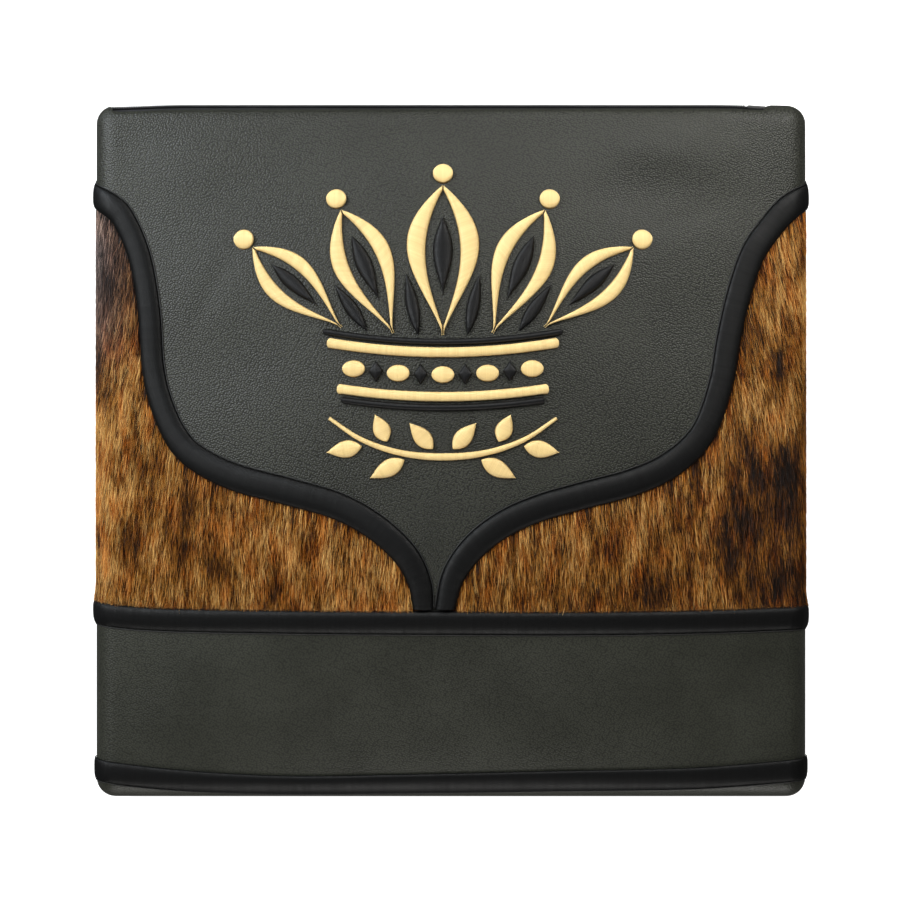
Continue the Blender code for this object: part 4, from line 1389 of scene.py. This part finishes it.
def addCoil():
    # One loop of the nylon coil, half a flattened ring of wire, then copied along both sides
    mesh = bmesh.new()
    ring = bmesh.ops.create_circle(mesh, cap_ends=False, segments=5, radius=zipper["wireRadius"])
    upright = Matrix.Rotation(math.pi / 2, 3, "X")
    bmesh.ops.rotate(mesh, verts=ring["verts"], matrix=upright, cent=(0, 0, 0))
    bmesh.ops.translate(mesh, verts=ring["verts"], vec=(0.0, 0.0, zipper["loopRadius"]))
    bmesh.ops.spin(
        mesh, geom=mesh.verts[:] + mesh.edges[:], cent=(0, 0, 0), axis=(1, 0, 0),
        angle=-math.pi, steps=6, use_merge=False,
    )
    bmesh.ops.scale(mesh, verts=mesh.verts, vec=(1.0, zipper["loopFlat"], 1.0))
    closeMesh(mesh, [], 0.0)
    bmesh.ops.triangulate(mesh, faces=mesh.faces)
    loop, faces = takeShape(mesh)
    places = []
    atStart, atEnd = zipper["loopInset"]
    x = np.arange(zipper["coilStart"] + atStart, zipper["coilEnd"] - atEnd, zipper["loopPitch"])
    y = np.full(len(x), coilFoot + 0.0001)
    for side, shift in ((1, 0.0), (-1, 0.5)):
        z = np.full(len(x), seamHeight + side * zipper["loopAside"])
        centres = np.stack([x + shift * zipper["loopPitch"], y, z], 1)
        places.append(centres[:, None] + loop[None])

    core = bmesh.new()
    length = zipper["coilEnd"] - zipper["coilStart"]
    middle = (zipper["coilStart"] + zipper["coilEnd"]) / 2
    addBlock(core, (length, *zipper["coreSize"]), (middle, coilFoot + 0.00035, seamHeight), 0.0004, 2)
    lengthways = [edge for edge in core.edges if edge.calc_length() > 0.1]
    bmesh.ops.subdivide_edges(core, edges=lengthways, cuts=90, use_grid_fill=True)
    sagCorners(core)
    meshPiece("zip_coil_cord", core, "zip_tape")
    places = np.vstack(places)
    places[..., 1] -= cornerSag(places[..., 0], places[..., 1])
    data = copiedMesh("zip_coil_loops", places, faces)
    data.shade_smooth()
    finishPiece("zip_coil_loops", data, "zip_coil", ("zip_teeth",))


def addSlider():
    # Two plates over the coil, a bridge on top, and the pull folded down over the back's rim
    mesh = bmesh.new()
    start = zipper["coilEnd"] - 0.0002
    middle = start + zipper["sliderLength"] / 2
    top = bag["height"] / 2 - zipper["sliderUnderRim"]
    foot = coilFoot - 0.0006
    size = (zipper["sliderLength"], top - foot, zipper["sliderWidth"])
    addBlock(mesh, size, (middle, (top + foot) / 2, seamHeight), 0.0004, 3, zipper["sliderTaper"])
    addBlock(mesh, zipper["bridgeSize"], (middle, top - 0.0006, seamHeight - 0.0008), 0.0005, 3)
    sagCorners(mesh)
    smoothFaces(mesh)
    meshPiece("zip_slider_body", mesh, "zip_slider", ("zip_slider",))

    mesh, share = startGrid(5, 9)
    widths = np.array(zipper["pullWidths"])[gridIndex(share[:, 0], 5)]
    widths *= 1 - 0.25 * np.cos(share[:, 1] * math.pi)
    firstTurn, turns = zipper["pullTurns"]
    y, z = rimArc(bag["edgeRoll"] + zipper["pullOut"], firstTurn + turns * share[:, 1])
    placeCorners(mesh, np.stack([middle + widths, y, z], 1))
    mesh.faces.ensure_lookup_table()
    hole = [face for face in mesh.faces if abs(face.calc_center_median().x - middle) < 0.0009
            and 0.25 < faceShare(face) < 0.85]
    bmesh.ops.delete(mesh, geom=hole, context="FACES")
    smoothFaces(mesh)
    pull = meshPiece("zip_slider_pull", mesh, "zip_slider")
    addWall(pull, zipper["pullWall"])
    rounded = pull.modifiers.new("rounded", "SUBSURF")
    rounded.levels = rounded.render_levels = 2


def faceShare(face):
    # How far down the pull a face lies, from its angle about the top edge's roll
    centre = face.calc_center_median()
    angle = math.degrees(math.atan2(centre.z - seamHeight, centre.y - rollMiddle))
    firstTurn, turns = zipper["pullTurns"]
    return (angle - firstTurn) / turns


addTapes()
addCoil()
addSlider()
print("zip fitted")


# Floor, camera and lights
studio = {
    "cameraHeight": 1.05,
    "viewHalf": 0.2288,
    "aim": (-0.0005, -0.0001),
    "floorGlow": 0.92,
    "lights": (
        # name, place, aim, size, power, colour
        ("leftLight", (-1.00, 0.58, 0.95), (0.0, 0.0, 0.03), (0.7, 0.7), 19.0, (0.98, 1.0, 1.0)),
        ("windowLight", (-0.56, 0.50, 0.30), (-0.12, 0.10, 0.03), (0.3, 0.3), 2.4, (0.78, 0.89, 1.0)),
        ("rightLight", (0.34, 0.44, 0.40), (0.10, 0.08, 0.03), (0.35, 0.35), 3.1, (1.0, 0.99, 0.95)),
        ("topLight", (-0.05, 1.10, 0.95), (0.0, 0.0, 0.03), (0.9, 0.5), 1.6, (1.0, 1.0, 0.98)),
        ("footLight", (0.0, -1.20, 0.40), (0.0, 0.0, 0.03), (0.8, 0.4), 8.5, (1.0, 0.98, 0.95)),
    ),
    "world": 0.10,
}


def addFloor():
    mesh = bmesh.new()
    bmesh.ops.create_grid(mesh, x_segments=1, y_segments=1, size=6.0)
    data = bpy.data.meshes.new("floor")
    mesh.to_mesh(data)
    mesh.free()
    material, tree, shader = newMaterial("paleFloor", 0.9, 0.1)
    shader.inputs["Base Color"].default_value = (0.50, 0.50, 0.50, 1.0)
    shader.inputs["Emission Color"].default_value = (1.0, 1.0, 1.0, 1.0)
    shader.inputs["Emission Strength"].default_value = studio["floorGlow"]
    data.materials.append(material)
    floor = bpy.data.objects.new("floor", data)
    bpy.context.scene.collection.objects.link(floor)
    floor.visible_glossy = False


def turnTo(lamp, aim):
    # Turns a lamp's -Z axis to face the aim
    away = np.array(lamp.location) - np.array(aim)
    lamp.rotation_euler = (
        math.acos(away[2] / np.linalg.norm(away)), 0.0, math.atan2(away[1], away[0]) + math.pi / 2,
    )


def addStudio():
    scene = bpy.context.scene
    scene.view_settings.view_transform = "Standard"
    cameraData = bpy.data.cameras.new("frontCamera")
    cameraData.angle = 2 * math.atan(studio["viewHalf"] / studio["cameraHeight"])
    camera = bpy.data.objects.new("frontCamera", cameraData)
    camera.location = (*studio["aim"], seamHeight + studio["cameraHeight"])
    scene.collection.objects.link(camera)
    scene.camera = camera
    for name, place, aim, size, power, colour in studio["lights"]:
        data = bpy.data.lights.new(name, "AREA")
        data.shape = "RECTANGLE"
        data.size, data.size_y = size
        data.energy = power
        data.color = colour
        lamp = bpy.data.objects.new(name, data)
        lamp.location = place
        turnTo(lamp, aim)
        scene.collection.objects.link(lamp)
    world = bpy.data.worlds.new("studioWorld")
    world.use_nodes = True
    background = world.node_tree.nodes["Background"]
    background.inputs["Color"].default_value = (1.0, 1.0, 1.0, 1.0)
    background.inputs["Strength"].default_value = studio["world"]
    scene.world = world


addFloor()
addStudio()
print("studio set")
